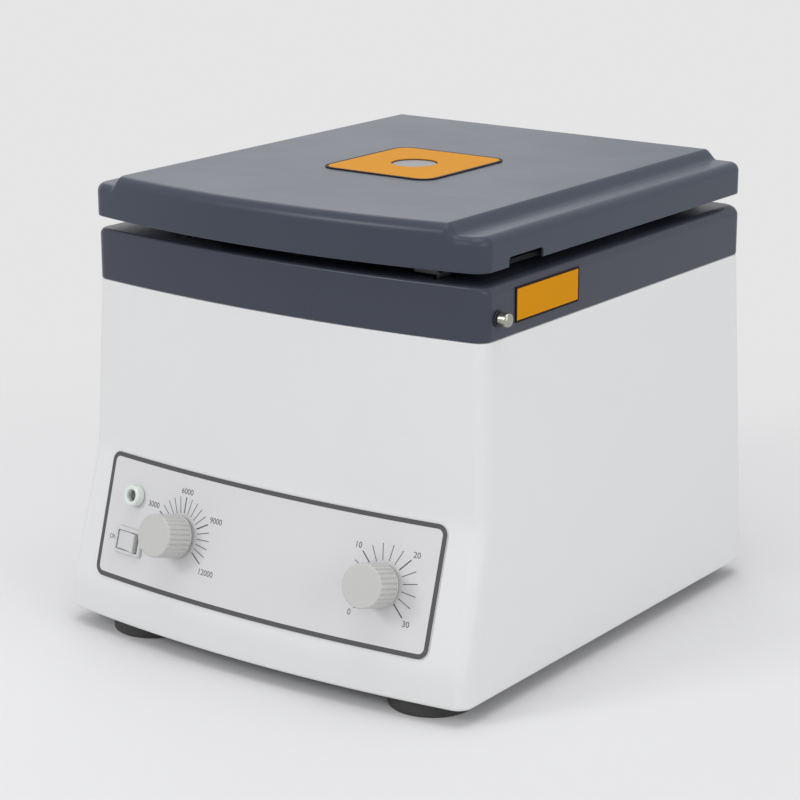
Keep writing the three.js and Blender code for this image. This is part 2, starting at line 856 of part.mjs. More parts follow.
// Fluted knob with a rim at its foot, hollow below for the bush's nut and bored for its spindle.
function knob() {
  const options = {
    depth: knobLength - knobRimHeight - knobBevel,
    bevelThickness: knobBevel,
    bevelSize: knobBevel,
    bevelOffset: -knobBevel,
    bevelSegments: 1,
  };
  const shape = flutedShape(knobRadius, knobFlutes, knobFluteDepth);
  const grip = solid(new THREE.ExtrudeGeometry(shape, options).translate(0, 0, knobFoot + knobRimHeight));
  const rim = bar(knobRimRadius, knobFoot, knobFoot + knobRimHeight, 0, 0, roundSides);
  const below = knobFoot - overrun;
  return cut(
    join(grip, rim),
    bar(knobHollowRadius, below, knobFoot + knobHollowDepth),
    bar(spindleRadius + seatGap, below, knobFoot + spindleInKnob + seatGap),
  );
}

function spindle() {
  return bar(spindleRadius, behindWall - potDepth / 2 + runningGap, knobFoot + spindleInKnob);
}

function indicatorBezel() {
  const barrelFoot = -lampBarrelLength;
  const nutFoot = behindWall - lampNutHeight;
  const rim = filmTop + seatGap;
  return ring(
    [
      [lampBore, barrelFoot],
      [lampBarrelRadius, barrelFoot],
      [lampBarrelRadius, nutFoot],
      [lampNutRadius, nutFoot],
      [lampNutRadius, behindWall],
      [lampBarrelRadius, behindWall],
      [lampBarrelRadius, rim],
      [lampRadius, rim],
      [lampRadius, lampLength - lampRound],
      [lampRadius - lampRound / 2, lampLength - lampRound / 4],
      [lampRadius - lampRound, lampLength],
      [lampBore, lampLength - lampRound / 2],
    ],
    smallSides,
  );
}

function indicatorLens() {
  const radius = lampBore - seatGap;
  const tip = lampLength - lampLensDepth;
  return turned(
    [
      [0, -lampBarrelLength / 2],
      [radius, -lampBarrelLength / 2],
      [radius, tip - radius / 2],
      [radius / 2, tip - radius / 6],
      [0, tip],
    ],
    smallSides,
  );
}

function switchBezel() {
  const rimFoot = filmTop + seatGap;
  const rim = slab(
    roundedShape(switchHalfWidth, switchHalfHeight, switchRadius),
    rimFoot,
    rimFoot + switchRim,
  );
  const halfWidth = rockerWellHalfWidth + switchBodyWall;
  const halfHeight = rockerWellHalfHeight + switchBodyWall;
  const body = block(-halfWidth, halfWidth, -halfHeight, halfHeight, -switchBodyDepth, rimFoot + switchRim / 2);
  const well = block(
    -rockerWellHalfWidth,
    rockerWellHalfWidth,
    -rockerWellHalfHeight,
    rockerWellHalfHeight,
    -rockerFoot - rockerHalfWidth / 2,
    rimFoot + switchRim + overrun,
  );
  return cut(join(rim, body), well);
}

// Rocker with two wings about a pivot that runs up the panel, resting with its left wing pressed in.
function rockerBody() {
  const side = new THREE.Shape([
    new THREE.Vector2(-rockerFootHalfWidth, -rockerFoot),
    new THREE.Vector2(rockerFootHalfWidth, -rockerFoot),
    new THREE.Vector2(rockerHalfWidth, rockerTop + rockerWing),
    new THREE.Vector2(0, rockerTop),
    new THREE.Vector2(-rockerHalfWidth, rockerTop + rockerWing),
  ]);
  const body = slab(side, -rockerHalfHeight, rockerHalfHeight);
  const upright = new THREE.Matrix4().makeRotationX(Math.PI / 2);
  const pressed = new THREE.Matrix4().makeRotationY(-rockerSwing / 2);
  return moved(body, pressed.multiply(upright));
}

// Deep-drawn bowl with a flat rim, open at the top and with a hole for the motor's shaft.
function chamberBowl() {
  const outer = bowlRadius + bowlWall;
  const rimTop = bowlRimFloor + bowlWall;
  const under = bowlFloor - bowlWall;
  const bend = bowlFloorRound;
  const bendShare = 1 - Math.SQRT1_2;
  return ring(
    [
      [bowlShaftHole, under],
      [outer - bend, under],
      [outer - bend * bendShare, under + bend * bendShare],
      [outer, under + bend],
      [outer, bowlRimFloor],
      [bowlRadius + bowlRimWidth, bowlRimFloor],
      [bowlRadius + bowlRimWidth, rimTop],
      [bowlRadius, rimTop],
      [bowlRadius, bowlFloor + bend],
      [bowlRadius - bend * bendShare, bowlFloor + bend * bendShare],
      [bowlRadius - bend, bowlFloor],
      [bowlShaftHole, bowlFloor],
    ],
    fineSides,
  );
}

// Rubber seal on the bowl's rim that the inner lid closes on.
function bowlSeal() {
  const inner = bowlRadius + bowlRimWidth - sealWidth;
  const outer = bowlRadius + bowlRimWidth;
  const foot = bowlRimFloor + bowlWall + seatGap;
  const top = linerFloor - seatGap;
  return ring(
    [
      [inner, foot],
      [outer, foot],
      [outer, top - sealRound],
      [outer - sealRound, top],
      [inner + sealRound, top],
      [inner, top - sealRound],
    ],
    fineSides,
  );
}

// Rotor: a plate with a raised rim, a hub below and radial slots for the capillary tubes.
function rotorDisc() {
  const rim = rotorRadius - rotorRimWidth;
  const bore = shaftRadius + seatGap;
  const body = ring(
    [
      [bore, rotorFloor - hubDrop],
      [hubRadius, rotorFloor - hubDrop],
      [hubRadius, rotorFloor],
      [rotorRadius, rotorFloor],
      [rotorRadius, rotorTop],
      [rim, rotorTop],
      [rim, rotorDeck],
      [bore, rotorDeck],
    ],
    fineSides,
  );
  const slotOuter = rim - tubeCushionWidth - 2 * seatGap;
  const slots = Array.from({ length: slotCount }, (_, i) => {
    const slot = block(slotInner, slotOuter, -slotWidth / 2, slotWidth / 2, rotorDeck - slotDepth, rotorTop);
    return moved(slot, new THREE.Matrix4().makeRotationZ((2 * Math.PI * i) / slotCount));
  });
  return cut(body, ...slots);
}

// Rubber ring inside the rim that the sealed ends of the tubes press on.
function tubeCushion() {
  const outer = rotorRadius - rotorRimWidth - seatGap;
  const inner = outer - tubeCushionWidth;
  const foot = rotorDeck + seatGap;
  return ring(
    [
      [inner, foot],
      [outer, foot],
      [outer, foot + tubeCushionHeight],
      [inner, foot + tubeCushionHeight],
    ],
    fineSides,
  );
}

function rotorCover() {
  const bore = shaftRadius + runningGap;
  const foot = rotorTop + seatGap;
  return ring(
    [
      [bore, rotorDeck + seatGap],
      [coverBossRadius, rotorDeck + seatGap],
      [coverBossRadius, foot],
      [rotorRadius - coverLip, foot],
      [rotorRadius - coverLip, coverTop - coverThickness / 2],
      [rotorRadius - 2 * coverLip, coverTop],
      [bore, coverTop],
    ],
    fineSides,
  );
}

// Fluted nut with a closed top, bored from below for the shaft's stud.
function rotorNut() {
  const foot = coverTop + seatGap;
  const options = { depth: nutHeight, bevelEnabled: false };
  const shape = flutedShape(nutRadius, nutFlutes, nutFluteDepth);
  const grip = solid(new THREE.ExtrudeGeometry(shape, options).translate(0, 0, foot));
  return cut(grip, bar(shaftRadius + runningGap, foot - overrun, foot + nutHeight - nutRoof));
}

function motorShaft() {
  const foot = motorFoot - endCapLength + bearingWidth - shaftTail;
  return bar(shaftRadius, foot, coverTop + studLength);
}

function motorBody() {
  const inner = motorRadius - motorWall;
  const neck = bearingRadius + seatGap;
  const shelf = motorTop - bearingWidth - seatGap;
  return ring([
    [neck, shelf - motorWall],
    [inner, shelf - motorWall],
    [inner, motorFoot],
    [motorRadius, motorFoot],
    [motorRadius, motorTop],
    [neck, motorTop],
  ]);
}

// Lower cap of the motor, with the brush gear's housing and the seat of the lower bearing.
function motorEndCap() {
  const top = motorFoot - seatGap;
  const foot = motorFoot - endCapLength;
  const seat = bearingRadius + seatGap;
  const bore = shaftRadius + runningGap;
  const bearingTop = foot + motorWall + bearingWidth + seatGap;
  return ring([
    [bore, foot],
    [motorRadius - motorWall, foot],
    [motorRadius, foot + motorWall],
    [motorRadius, top],
    [motorRadius - motorWall, top],
    [motorRadius - motorWall, bearingTop],
    [seat, bearingTop],
    [seat, foot + motorWall],
    [bore, foot + motorWall],
  ]);
}

function bearing(foot) {
  const bore = shaftRadius + runningGap;
  return ring(
    [
      [bore, foot],
      [bearingRadius, foot],
      [bearingRadius, foot + bearingWidth],
      [bore, foot + bearingWidth],
    ],
    smallSides,
  );
}

// Armature: the wound core with the commutator below it.
function armature() {
  const bore = shaftRadius + seatGap;
  const top = motorTop - bearingWidth - motorWall - 2 * runningGap;
  const core = top - armatureLength;
  const foot = core - armatureNeck / 2;
  return ring([
    [bore, foot],
    [armatureNeck, foot],
    [armatureNeck, core],
    [armatureRadius, core],
    [armatureRadius, top - armatureNeck / 2],
    [armatureNeck, top],
    [bore, top],
  ]);
}

function motorPlate() {
  const foot = motorPlateTop - motorPlateThickness;
  const plate = bar(motorPlateRadius, foot, motorPlateTop, 0, 0, roundSides);
  return cut(plate, bar(bearingRadius + motorWall, foot - overrun, motorPlateTop + overrun));
}

function rubberMount(index) {
  const angle = (2 * Math.PI * index) / 3;
  const foot = motorPlateTop + seatGap;
  const waist = mountRadius * 0.8;
  const middle = foot + mountHeight / 2;
  const made = turned(
    [
      [0, foot],
      [mountRadius, foot],
      [waist, middle],
      [mountRadius, foot + mountHeight],
      [0, foot + mountHeight],
    ],
    smallSides,
  );
  const place = new THREE.Matrix4().makeTranslation(
    mountCircle * Math.cos(angle),
    mountCircle * Math.sin(angle),
    0,
  );
  return moved(made, place);
}

// Board on four posts, with a heat sink, a capacitor and a row of terminals.
function controlBoard() {
  const foot = caseFloor + basePlateThickness + seatGap;
  const top = foot + boardStand + boardThickness;
  const plate = block(boardX, boardX + boardWidth, boardY, boardY + boardDepth, top - boardThickness, top);
  const posts = [boardX + boardPostInset, boardX + boardWidth - boardPostInset].flatMap((x) =>
    [boardY + boardPostInset, boardY + boardDepth - boardPostInset].map((y) =>
      bar(boardPostRadius, foot, top, x, y, smallSides / 2),
    ),
  );
  const sinkX = boardX + 2 * boardPostInset;
  const sinkY = boardY + 2 * boardPostInset;
  const sink = block(sinkX, sinkX + sinkWidth, sinkY, sinkY + sinkDepth, top - boardThickness, top + sinkHeight);
  const canX = sinkX + sinkWidth + 2 * canRadius;
  const can = bar(canRadius, top - boardThickness, top + canHeight, canX, sinkY + 2 * canRadius);
  const terminalX = boardX + boardWidth - terminalWidth;
  const terminals = block(
    terminalX,
    boardX + boardWidth,
    sinkY,
    sinkY + terminalDepth,
    top - boardThickness,
    top + terminalHeight,
  );
  return join(plate, ...posts, sink, can, terminals);
}

// Three-pin mains inlet: a flange outside the wall and a socket body that reaches in.
function mainsInlet() {
  const flangeFoot = seatGap;
  const mouth = flangeFoot + inletFlange;
  const flange = slab(
    roundedShape(inletFlangeHalfWidth, inletFlangeHalfHeight, inletRadius),
    flangeFoot,
    mouth,
  );
  const body = block(
    -inletHalfWidth,
    inletHalfWidth,
    -inletHalfHeight,
    inletHalfHeight,
    mouth - inletDepth - inletFloor,
    flangeFoot + inletFlange / 2,
  );
  const socket = slab(
    roundedShape(inletHalfWidth - inletWall, inletHalfHeight - inletWall, inletWall),
    mouth - inletDepth,
    mouth + overrun,
  );
  const slots = bladePlaces().map(([x, y]) => blade(x, y, seatGap, mouth - inletDepth - 2 * inletFloor, mouth));
  return cut(join(flange, body), socket, ...slots);
}

function bladePlaces() {
  return [
    [-pinPitch, -pinRaise / 2],
    [0, pinRaise],
    [pinPitch, -pinRaise / 2],
  ];
}

function blade(x, y, grow, foot, top) {
  const halfWidth = bladeWidth / 2 + grow;
  const halfHeight = bladeHeight / 2 + grow;
  return block(x - halfWidth, x + halfWidth, y - halfHeight, y + halfHeight, foot, top);
}

// The inlet's three blades on the strip behind it.
function inletContacts() {
  const mouth = seatGap + inletFlange;
  const stripTop = mouth - inletDepth - inletFloor - seatGap;
  const tips = mouth - bladeFree;
  const blades = bladePlaces().map(([x, y]) => blade(x, y, 0, stripTop - stripDepth / 2, tips));
  const strip = block(
    -inletHalfWidth + inletWall,
    inletHalfWidth - inletWall,
    -bladeHeight,
    bladeHeight + pinRaise / 2,
    stripTop - stripDepth,
    stripTop,
  );
  return join(strip, ...blades);
}

function fuseHolder() {
  const mouth = seatGap + fuseFlange;
  return ring(
    [
      [fuseBore, mouth - fuseDepth + fuseFlange],
      [fuseBore, mouth],
      [fuseFlangeRadius, mouth],
      [fuseFlangeRadius, seatGap],
      [fuseRadius, seatGap],
      [fuseRadius, mouth - fuseDepth],
      [fuseLinkRadius - seatGap, mouth - fuseDepth],
      [fuseLinkRadius - seatGap, mouth - fuseDepth + fuseFlange],
    ],
    smallSides,
  );
}

const fuseCapFoot = 2 * seatGap + fuseFlange;

// Bayonet cap with a finger slot, and a stem that reaches into the holder.
function fuseCap() {
  const head = bar(fuseCapRadius, fuseCapFoot, fuseCapFoot + fuseCapLength);
  const stem = bar(fuseBore - runningGap, fuseCapFoot - fuseStemLength, fuseCapFoot + seatGap);
  const halfSlot = fuseFlange / 2;
  const slot = block(
    -2 * fuseCapRadius,
    2 * fuseCapRadius,
    -halfSlot,
    halfSlot,
    fuseCapFoot + fuseCapLength - fuseFlange,
    fuseCapFoot + fuseCapLength + overrun,
  );
  return cut(join(head, stem), slot);
}

function fuseLink() {
  const top = fuseCapFoot - fuseStemLength - seatGap;
  return bar(fuseLinkRadius, top - fuseLinkLength, top);
}

// Threaded guide of the release pin, with its flange outside the wall.
function releaseBush() {
  const bore = pinShaftRadius + runningGap;
  return ring(
    [
      [bore, -caseWall - bushSleeveLength],
      [bushSleeveRadius, -caseWall - bushSleeveLength],
      [bushSleeveRadius, seatGap],
      [bushFlangeRadius, seatGap],
      [bushFlangeRadius, seatGap + bushFlange / 2],
      [bushFlangeRadius - bushFlange / 2, seatGap + bushFlange],
      [bore, seatGap + bushFlange],
    ],
    smallSides,
  );
}

const springTop = -caseWall - bushSleeveLength - seatGap;
const pinCollarTop = springTop - springLength - seatGap;
const pinTip = tongueX + tongueThickness + runningGap - seamHalfWidth;

// Pin with a round head outside, a collar inside that the spring pushes on, and a nose behind the tongue.
function releasePin() {
  const stemFoot = 2 * seatGap + bushFlange;
  const neck = pinReach - pinHeadLength;
  const head = pinHeadRadius;
  return turned(
    [
      [0, pinTip],
      [pinShaftRadius - seatGap, pinTip],
      [pinShaftRadius, pinTip + seatGap],
      [pinShaftRadius, pinCollarTop - pinCollarLength],
      [pinCollarRadius, pinCollarTop - pinCollarLength],
      [pinCollarRadius, pinCollarTop],
      [pinShaftRadius, pinCollarTop],
      [pinShaftRadius, stemFoot],
      [pinStemRadius, stemFoot],
      [pinStemRadius, neck],
      [head, neck],
      [head, pinReach - pinHeadLength * 0.2],
      [head * 0.8, pinReach],
      [0, pinReach],
    ],
    smallSides,
  );
}

// Coil spring round the pin, between the bush and the pin's collar.
function latchSpring() {
  const points = [];
  const stepsPerTurn = 8;
  const steps = springTurns * stepsPerTurn;
  const foot = springTop - springLength + springWire;
  for (let i = 0; i <= steps; i++) {
    const angle = (2 * Math.PI * i) / stepsPerTurn;
    const z = foot + ((springLength - 2 * springWire) * i) / steps;
    points.push(new THREE.Vector3(springRadius * Math.cos(angle), springRadius * Math.sin(angle), z));
  }
  const wire = new THREE.Shape().absarc(0, 0, springWire, 0, 2 * Math.PI, false);
  const path = new THREE.CatmullRomCurve3(points);
  return solid(
    new THREE.ExtrudeGeometry(wire, { steps, extrudePath: path, curveSegments: arcSteps, bevelEnabled: false }),
  );
}

// Steel tongue under the lid: an arm on the inner lid and a blade with the hole that the pin holds.
function latchTongue() {
  const armTop = linerFloor - seatGap;
  const armFoot = collarTop + tongueArmGap;
  const front = pinY - tongueHalfWidth;
  const rear = pinY + tongueHalfWidth;
  const outer = tongueX + tongueThickness;
  const arm = block(tongueX - tongueArm, outer, front, rear, armFoot, armTop);
  const bladePlate = block(tongueX, outer, front, rear, tongueFoot, armTop);
  const strike = bar(strikeRadius, -tongueArm, tongueArm);
  const spot = pinSpot.clone().setPosition(tongueX, pinY, pinHeight);
  return cut(join(arm, bladePlate), moved(strike, spot));
}

function sideLabel() {
  const shape = roundedShape(
    (sideLabelRear - sideLabelFront) / 2,
    (sideLabelTop - sideLabelFoot) / 2,
    sideLabelRadius,
  );
  const middleY = (sideLabelFront + sideLabelRear) / 2;
  const middleZ = (sideLabelFoot + sideLabelTop) / 2;
  const spot = pinSpot.clone().setPosition(seamHalfWidth, middleY, middleZ);
  return moved(slab(shape, seatGap, seatGap + labelThickness), spot);
}

function lidPlan(inset, half = lidHalfWidth, frontInset = inset, rearInset = inset) {
  return {
    half: half - inset,
    front: lidFront - frontInset,
    rear: lidRear - rearInset,
    bow: lidBow,
    bowHalf: lidHalfWidth,
    frontRadius: lidFrontRadius - Math.min(inset, lidFrontRadius / 2),
    rearRadius: lidRearRadius - Math.min(inset, lidRearRadius / 2),
  };
}

function lidLevel(inset, height) {
  return { outline: planOutline(lidPlan(inset)), z: height };
}

// Level of the raised field, drawn in by shares of its side width and its front rounding.
function fieldLevel(sideShare, frontShare, height, shrink = 0) {
  const half = fieldHalfWidth + fieldSide * (1 - sideShare) - shrink;
  const ends = fieldFrontRound * frontShare + shrink;
  const plan = { ...lidPlan(0, half, ends, ends), frontRadius: fieldFrontRound, rearRadius: fieldFrontRound };
  return { outline: planOutline(plan), z: height };
}

// Rise and draw-in of the raised field's edge: a hollow curve at the flange, then a round one to the top.
const fieldRiseShares = [0, 0.12, 0.4, 0.72, 0.93, 1];
const fieldSideShares = [0, 0.28, 0.5, 0.66, 0.84, 1];
const fieldFrontShares = [0, 0, 0.1, 0.35, 0.65, 1];

function lidShell() {
  const skirt = loft([lidLevel(0, lidFloor), ...roundedLevels(lidLevel, flangeRound, flangeTop)]);
  const field = loft([
    fieldLevel(0, 0, lidFloor + lidWall),
    ...fieldRiseShares.map((rise, i) =>
      fieldLevel(fieldSideShares[i], fieldFrontShares[i], flangeTop + rise * fieldRise),
    ),
  ]);
  const hollow = loft([
    lidLevel(lidWall, lidFloor - overrun),
    lidLevel(lidWall, flangeTop - lidWall - flangeRound / 2),
    lidLevel(lidWall + flangeRound / 2, flangeTop - lidWall),
  ]);
  const fieldHollow = loft([
    fieldLevel(1, 1, lidFloor, lidWall),
    fieldLevel(1, 1, lidTop - lidWall, lidWall),
  ]);
  const view = bar(viewRadius, lidFloor, lidTop + overrun, 0, axisY, roundSides);
  const notch = slab(
    roundedShape((notchRear - notchFront) / 2, notchHeight, notchRadius),
    -2 * lidWall,
    overrun,
  );
  const notchSpot = pinSpot.clone().setPosition(lidHalfWidth, (notchFront + notchRear) / 2, lidFloor);
  return cut(join(skirt, field), hollow, fieldHollow, view, moved(notch, notchSpot));
}

// Inner lid: a flange inside the lid's edge, a tray that meets the seal and a light well to the window.
function lidLiner() {
  const flangeFoot = lidFloor + seatGap;
  const flange = lidPlan(lidWall + seatGap);
  const tray = {
    ...lidPlan(linerSet, lidHalfWidth, linerFrontSet, linerRearSet),
    frontRadius: linerRadius,
    rearRadius: linerRadius,
  };
  const plate = loft([
    { outline: planOutline(tray), z: linerFloor },
    { outline: planOutline(tray), z: flangeFoot + linerPlate },
  ]);
  const edge = loft([
    { outline: planOutline(flange), z: flangeFoot },
    { outline: planOutline(flange), z: flangeFoot + linerPlate },
  ]);
  const hollowPlan = { ...tray, half: tray.half - linerPlate, front: tray.front - linerPlate, rear: tray.rear - linerPlate };
  const hollow = loft([
    { outline: planOutline(hollowPlan), z: linerFloor + linerPlate },
    { outline: planOutline(hollowPlan), z: flangeFoot + linerPlate + overrun },
  ]);
  const windowFoot = lidTop - lidWall - seatGap - windowThickness;
  const well = bar(wellRadius + wellWall, linerFloor, windowFoot - seatGap, 0, axisY, roundSides);
  const sight = bar(wellRadius, linerFloor - overrun, windowFoot + overrun, 0, axisY, roundSides);
  return cut(join(cut(join(plate, edge), hollow), well), sight);
}

function lidWindow() {
  const top = lidTop - lidWall - seatGap;
  return bar(windowRadius, top - windowThickness, top, 0, axisY, roundSides);
}

function lidLabel() {
  const outline = roundedShape(lidLabelHalfWidth, lidLabelHalfDepth, lidLabelRadius, 0, axisY);
  const foot = lidTop + seatGap;
  const plate = slab(outline, foot, foot + labelThickness);
  return cut(plate, bar(viewRadius, foot - overrun, foot + overrun, 0, axisY, roundSides));
}

// Turns a bar made along Z so that it lies along X through the hinge axis.
function alongHinge(made) {
  const turn = new THREE.Matrix4().makeRotationY(Math.PI / 2);
  return moved(made, turn.setPosition(0, hingeY, hingeHeight));
}

const knuckleHalf = hingeHalfLength / 3;

// Bracket on the collar's back: a leaf with a knuckle at each end.
function hingeBracket(x) {
  const from = x - hingeHalfLength;
  const to = x + hingeHalfLength;
  const wall = seamHalfDepth + seatGap;
  const leaf = block(from, to, wall, wall + hingeLeaf, hingeHeight - bracketDrop, hingeHeight);
  const barrel = alongHinge(bar(knuckleRadius, from, to));
  const room = knuckleRadius + runningGap;
  const gap = block(
    x - knuckleHalf - runningGap,
    x + knuckleHalf + runningGap,
    hingeY - 2 * room,
    hingeY + room,
    hingeHeight - room,
    hingeHeight + room,
  );
  const bore = alongHinge(bar(hingePinRadius + seatGap, from - overrun, to + overrun));
  return cut(join(leaf, barrel), gap, bore);
}

// Leaf on the lid's back, with the middle knuckle.
function hingeLeafOf(x) {
  const wall = lidRear + seatGap;
  const knuckleFrom = x - knuckleHalf;
  const knuckleTo = x + knuckleHalf;
  const leafFoot = hingeHeight + knuckleRadius + runningGap;
  const leaf = block(
    x - hingeHalfLength,
    x + hingeHalfLength,
    wall,
    wall + hingeLeaf,
    leafFoot,
    hingeHeight + leafRise,
  );
  const neck = block(knuckleFrom, knuckleTo, wall, wall + hingeLeaf, hingeHeight, leafFoot + hingeLeaf);
  const arm = block(knuckleFrom, knuckleTo, wall, hingeY, hingeHeight, hingeHeight + hingeLeaf);
  const barrel = alongHinge(bar(knuckleRadius, knuckleFrom, knuckleTo));
  const bore = alongHinge(bar(hingePinRadius + seatGap, knuckleFrom - overrun, knuckleTo + overrun));
  return cut(join(leaf, neck, arm, barrel), bore);
}

function hingePin(x) {
  return alongHinge(bar(hingePinRadius, x - hingeHalfLength, x + hingeHalfLength));
}

// Pieces of the case and what is fixed in it
function caseGroup() {
  const group = new THREE.Group();
  group.add(
    meshOf("main_housing", mainHousing(), ...pearl),
    meshOf("upper_collar", upperCollar(), ...slate),
    meshOf("base_plate", basePlate(), ...steel),
    meshOf("control_board", controlBoard(), ...boardGreen),
    meshOf("side_label", sideLabel(), ...amber),
  );
  for (const [x, y, corner] of footSpots()) {
    const leg = new THREE.Group();
    leg.position.set(x, y, 0);
    leg.add(
      meshOf(`foot_${corner}`, foot(), ...rubber),
      meshOf(`foot_screw_${corner}`, footScrew(), ...steel),
    );
    group.add(leg);
  }
  return group;
}

function panelGroup() {
  const group = new THREE.Group();
  const rocker = meshOf("power_rocker", rockerBody(), ...knobGrey);
  group.add(
    meshOf("control_panel", controlPanel(), ...pearl),
    placed(
      speedSpot,
      meshOf("speed_potentiometer", speedPotentiometer(), ...blackPlastic),
      meshOf("speed_spindle", spindle(), ...steel),
      meshOf("speed_knob", knob(), ...knobGrey),
    ),
    placed(
      timerSpot,
      meshOf("timer_mechanism", timerMechanism(), ...blackPlastic),
      meshOf("timer_spindle", spindle(), ...steel),
      meshOf("timer_knob", knob(), ...knobGrey),
    ),
    placed(
      lampSpot,
      meshOf("indicator_bezel", indicatorBezel(), ...paleGreen),
      meshOf("indicator_lens", indicatorLens(), ...clear),
    ),
    placed(switchSpot, meshOf("switch_bezel", switchBezel(), ...pearl), rocker),
  );
  return group;
}

function driveGroup() {
  const group = new THREE.Group();
  group.position.set(0, axisY, 0);
  group.add(
    meshOf("chamber_bowl", chamberBowl(), ...steel),
    meshOf("bowl_seal", bowlSeal(), ...rubber),
    meshOf("rotor_disc", rotorDisc(), ...castAluminium),
    meshOf("tube_cushion", tubeCushion(), ...rubber),
    meshOf("rotor_cover", rotorCover(), ...castAluminium),
    meshOf("rotor_nut", rotorNut(), ...blackPlastic),
    meshOf("motor_shaft", motorShaft(), ...steel),
    meshOf("armature", armature(), ...copper),
    meshOf("motor_body", motorBody(), ...steel),
    meshOf("motor_end_cap", motorEndCap(), ...castAluminium),
    meshOf("upper_bearing", bearing(motorTop - bearingWidth), ...steel),
    meshOf("lower_bearing", bearing(motorFoot - endCapLength + motorWall + seatGap), ...steel),
    meshOf("motor_plate", motorPlate(), ...steel),
  );
  for (let i = 0; i < 3; i++) {
    group.add(meshOf(`motor_mount_${i + 1}`, rubberMount(i), ...rubber));
  }
  return group;
}

function latchGroup() {
  return placed(
    pinSpot,
    meshOf("release_bush", releaseBush(), ...blackPlastic),
    meshOf("release_pin", releasePin(), ...chrome),
    meshOf("latch_spring", latchSpring(), ...steel),
  );
}

function rearGroup() {
  const group = new THREE.Group();
  group.add(
    placed(
      inletSpot,
      meshOf("mains_inlet", mainsInlet(), ...blackPlastic),
      meshOf("inlet_contacts", inletContacts(), ...steel),
    ),
    placed(
      fuseSpot,
      meshOf("fuse_holder", fuseHolder(), ...blackPlastic),
      meshOf("fuse_cap", fuseCap(), ...blackPlastic),
      meshOf("fuse_link", fuseLink(), ...clear),
    ),
  );
  for (const [x, side] of [
    [-hingeX, "left"],
    [hingeX, "right"],
  ]) {
    group.add(
      meshOf(`hinge_bracket_${side}`, hingeBracket(x), ...steel),
      meshOf(`hinge_pin_${side}`, hingePin(x), ...steel),
      meshOf(`hinge_leaf_${side}`, hingeLeafOf(x), ...steel),
    );
  }
  return group;
}

function lidGroup() {
  const group = new THREE.Group();
  group.add(
    meshOf("lid_shell", lidShell(), ...lidGrey),
    meshOf("lid_liner", lidLiner(), ...blackPlastic),
    meshOf("lid_window", lidWindow(), ...clear),
    meshOf("lid_label", lidLabel(), ...amber),
    meshOf("latch_tongue", latchTongue(), ...steel),
  );
  return group;
}

const centrifuge = new THREE.Group();
centrifuge.add(caseGroup(), panelGroup(), driveGroup(), latchGroup(), rearGroup(), lidGroup());

// The origin is on the bench, in the middle of the case's width and halfway between its foremost and rearmost points.
const reach = new THREE.Box3().setFromObject(centrifuge, true);
centrifuge.position.y = -(reach.min.y + reach.max.y) / 2;

export default centrifuge;
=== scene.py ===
"""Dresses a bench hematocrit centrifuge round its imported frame.

Metres, +Z up, X across the front, -Y towards the user. Pieces are worked out in the case's own axes,
whose y is zero in the middle of the case at its seam, and Skin.piece moves them into the frame.
"""

import logging
import math
from collections.abc import Sequence
from dataclasses import dataclass
from enum import Enum

import bmesh
import bpy
import numpy as np
from mathutils import Matrix, Vector


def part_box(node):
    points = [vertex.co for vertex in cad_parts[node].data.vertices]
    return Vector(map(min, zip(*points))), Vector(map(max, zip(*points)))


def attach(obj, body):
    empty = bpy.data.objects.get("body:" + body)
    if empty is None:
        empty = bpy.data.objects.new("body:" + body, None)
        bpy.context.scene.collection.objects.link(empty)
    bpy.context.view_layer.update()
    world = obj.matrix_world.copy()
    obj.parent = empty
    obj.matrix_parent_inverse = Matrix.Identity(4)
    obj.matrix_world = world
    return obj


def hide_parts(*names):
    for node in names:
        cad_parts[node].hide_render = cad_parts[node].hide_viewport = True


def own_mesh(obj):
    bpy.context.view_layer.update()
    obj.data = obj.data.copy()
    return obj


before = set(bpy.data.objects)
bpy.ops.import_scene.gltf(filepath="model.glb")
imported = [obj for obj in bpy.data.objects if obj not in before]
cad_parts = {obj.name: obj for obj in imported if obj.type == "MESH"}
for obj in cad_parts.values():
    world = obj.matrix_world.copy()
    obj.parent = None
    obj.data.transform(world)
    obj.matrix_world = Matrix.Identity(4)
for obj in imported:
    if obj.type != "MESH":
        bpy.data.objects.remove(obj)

Array = np.ndarray
Place = Matrix
Object = bpy.types.Object
Tree = bpy.types.NodeTree
Socket = bpy.types.NodeSocket
Value = float | Sequence[float] | Socket

MM = 0.001
WELD = 0.002 * MM  # points closer than this are one
FLAT = 1e-9
QUARTER = math.pi / 2
ROUND = 0.5523  # handle length of a cubic that follows a quarter circle
SHEEN_ROUGHNESS = 0.4
SHEEN_TINT = (206, 224, 255)
THROUGH = (-8 * MM, 8 * MM)  # reach of a drill on both sides of a wall
FILM_EDGE = 0.06 * MM  # rounding of a printed plate's rim
PLAIN_LINEAR, SRGB_SLOPE, SRGB_BEND, SRGB_GAMMA = 0.04045, 12.92, 0.055, 2.4  # the sRGB curve

log = logging.getLogger("centrifuge")


def graded(breaks: Sequence[float], counts: Sequence[int]) -> Array:
    """Numbers through the breaks, each stretch cut into its own count of equal steps."""
    steps = [np.linspace(a, b, n, endpoint=False) for a, b, n in zip(breaks, breaks[1:], counts)]
    return np.append(np.concatenate(steps), breaks[-1])


def mirrored(half: Array) -> Array:
    """Numbers from -last to last, for a list that starts at zero."""
    return np.concatenate([-half[:0:-1], half])


def quarter(steps: int) -> tuple[Array, Array]:
    """1 - cos and sin of a quarter turn in equal steps."""
    angle = np.linspace(0, QUARTER, steps + 1)
    return 1 - np.cos(angle), np.sin(angle)


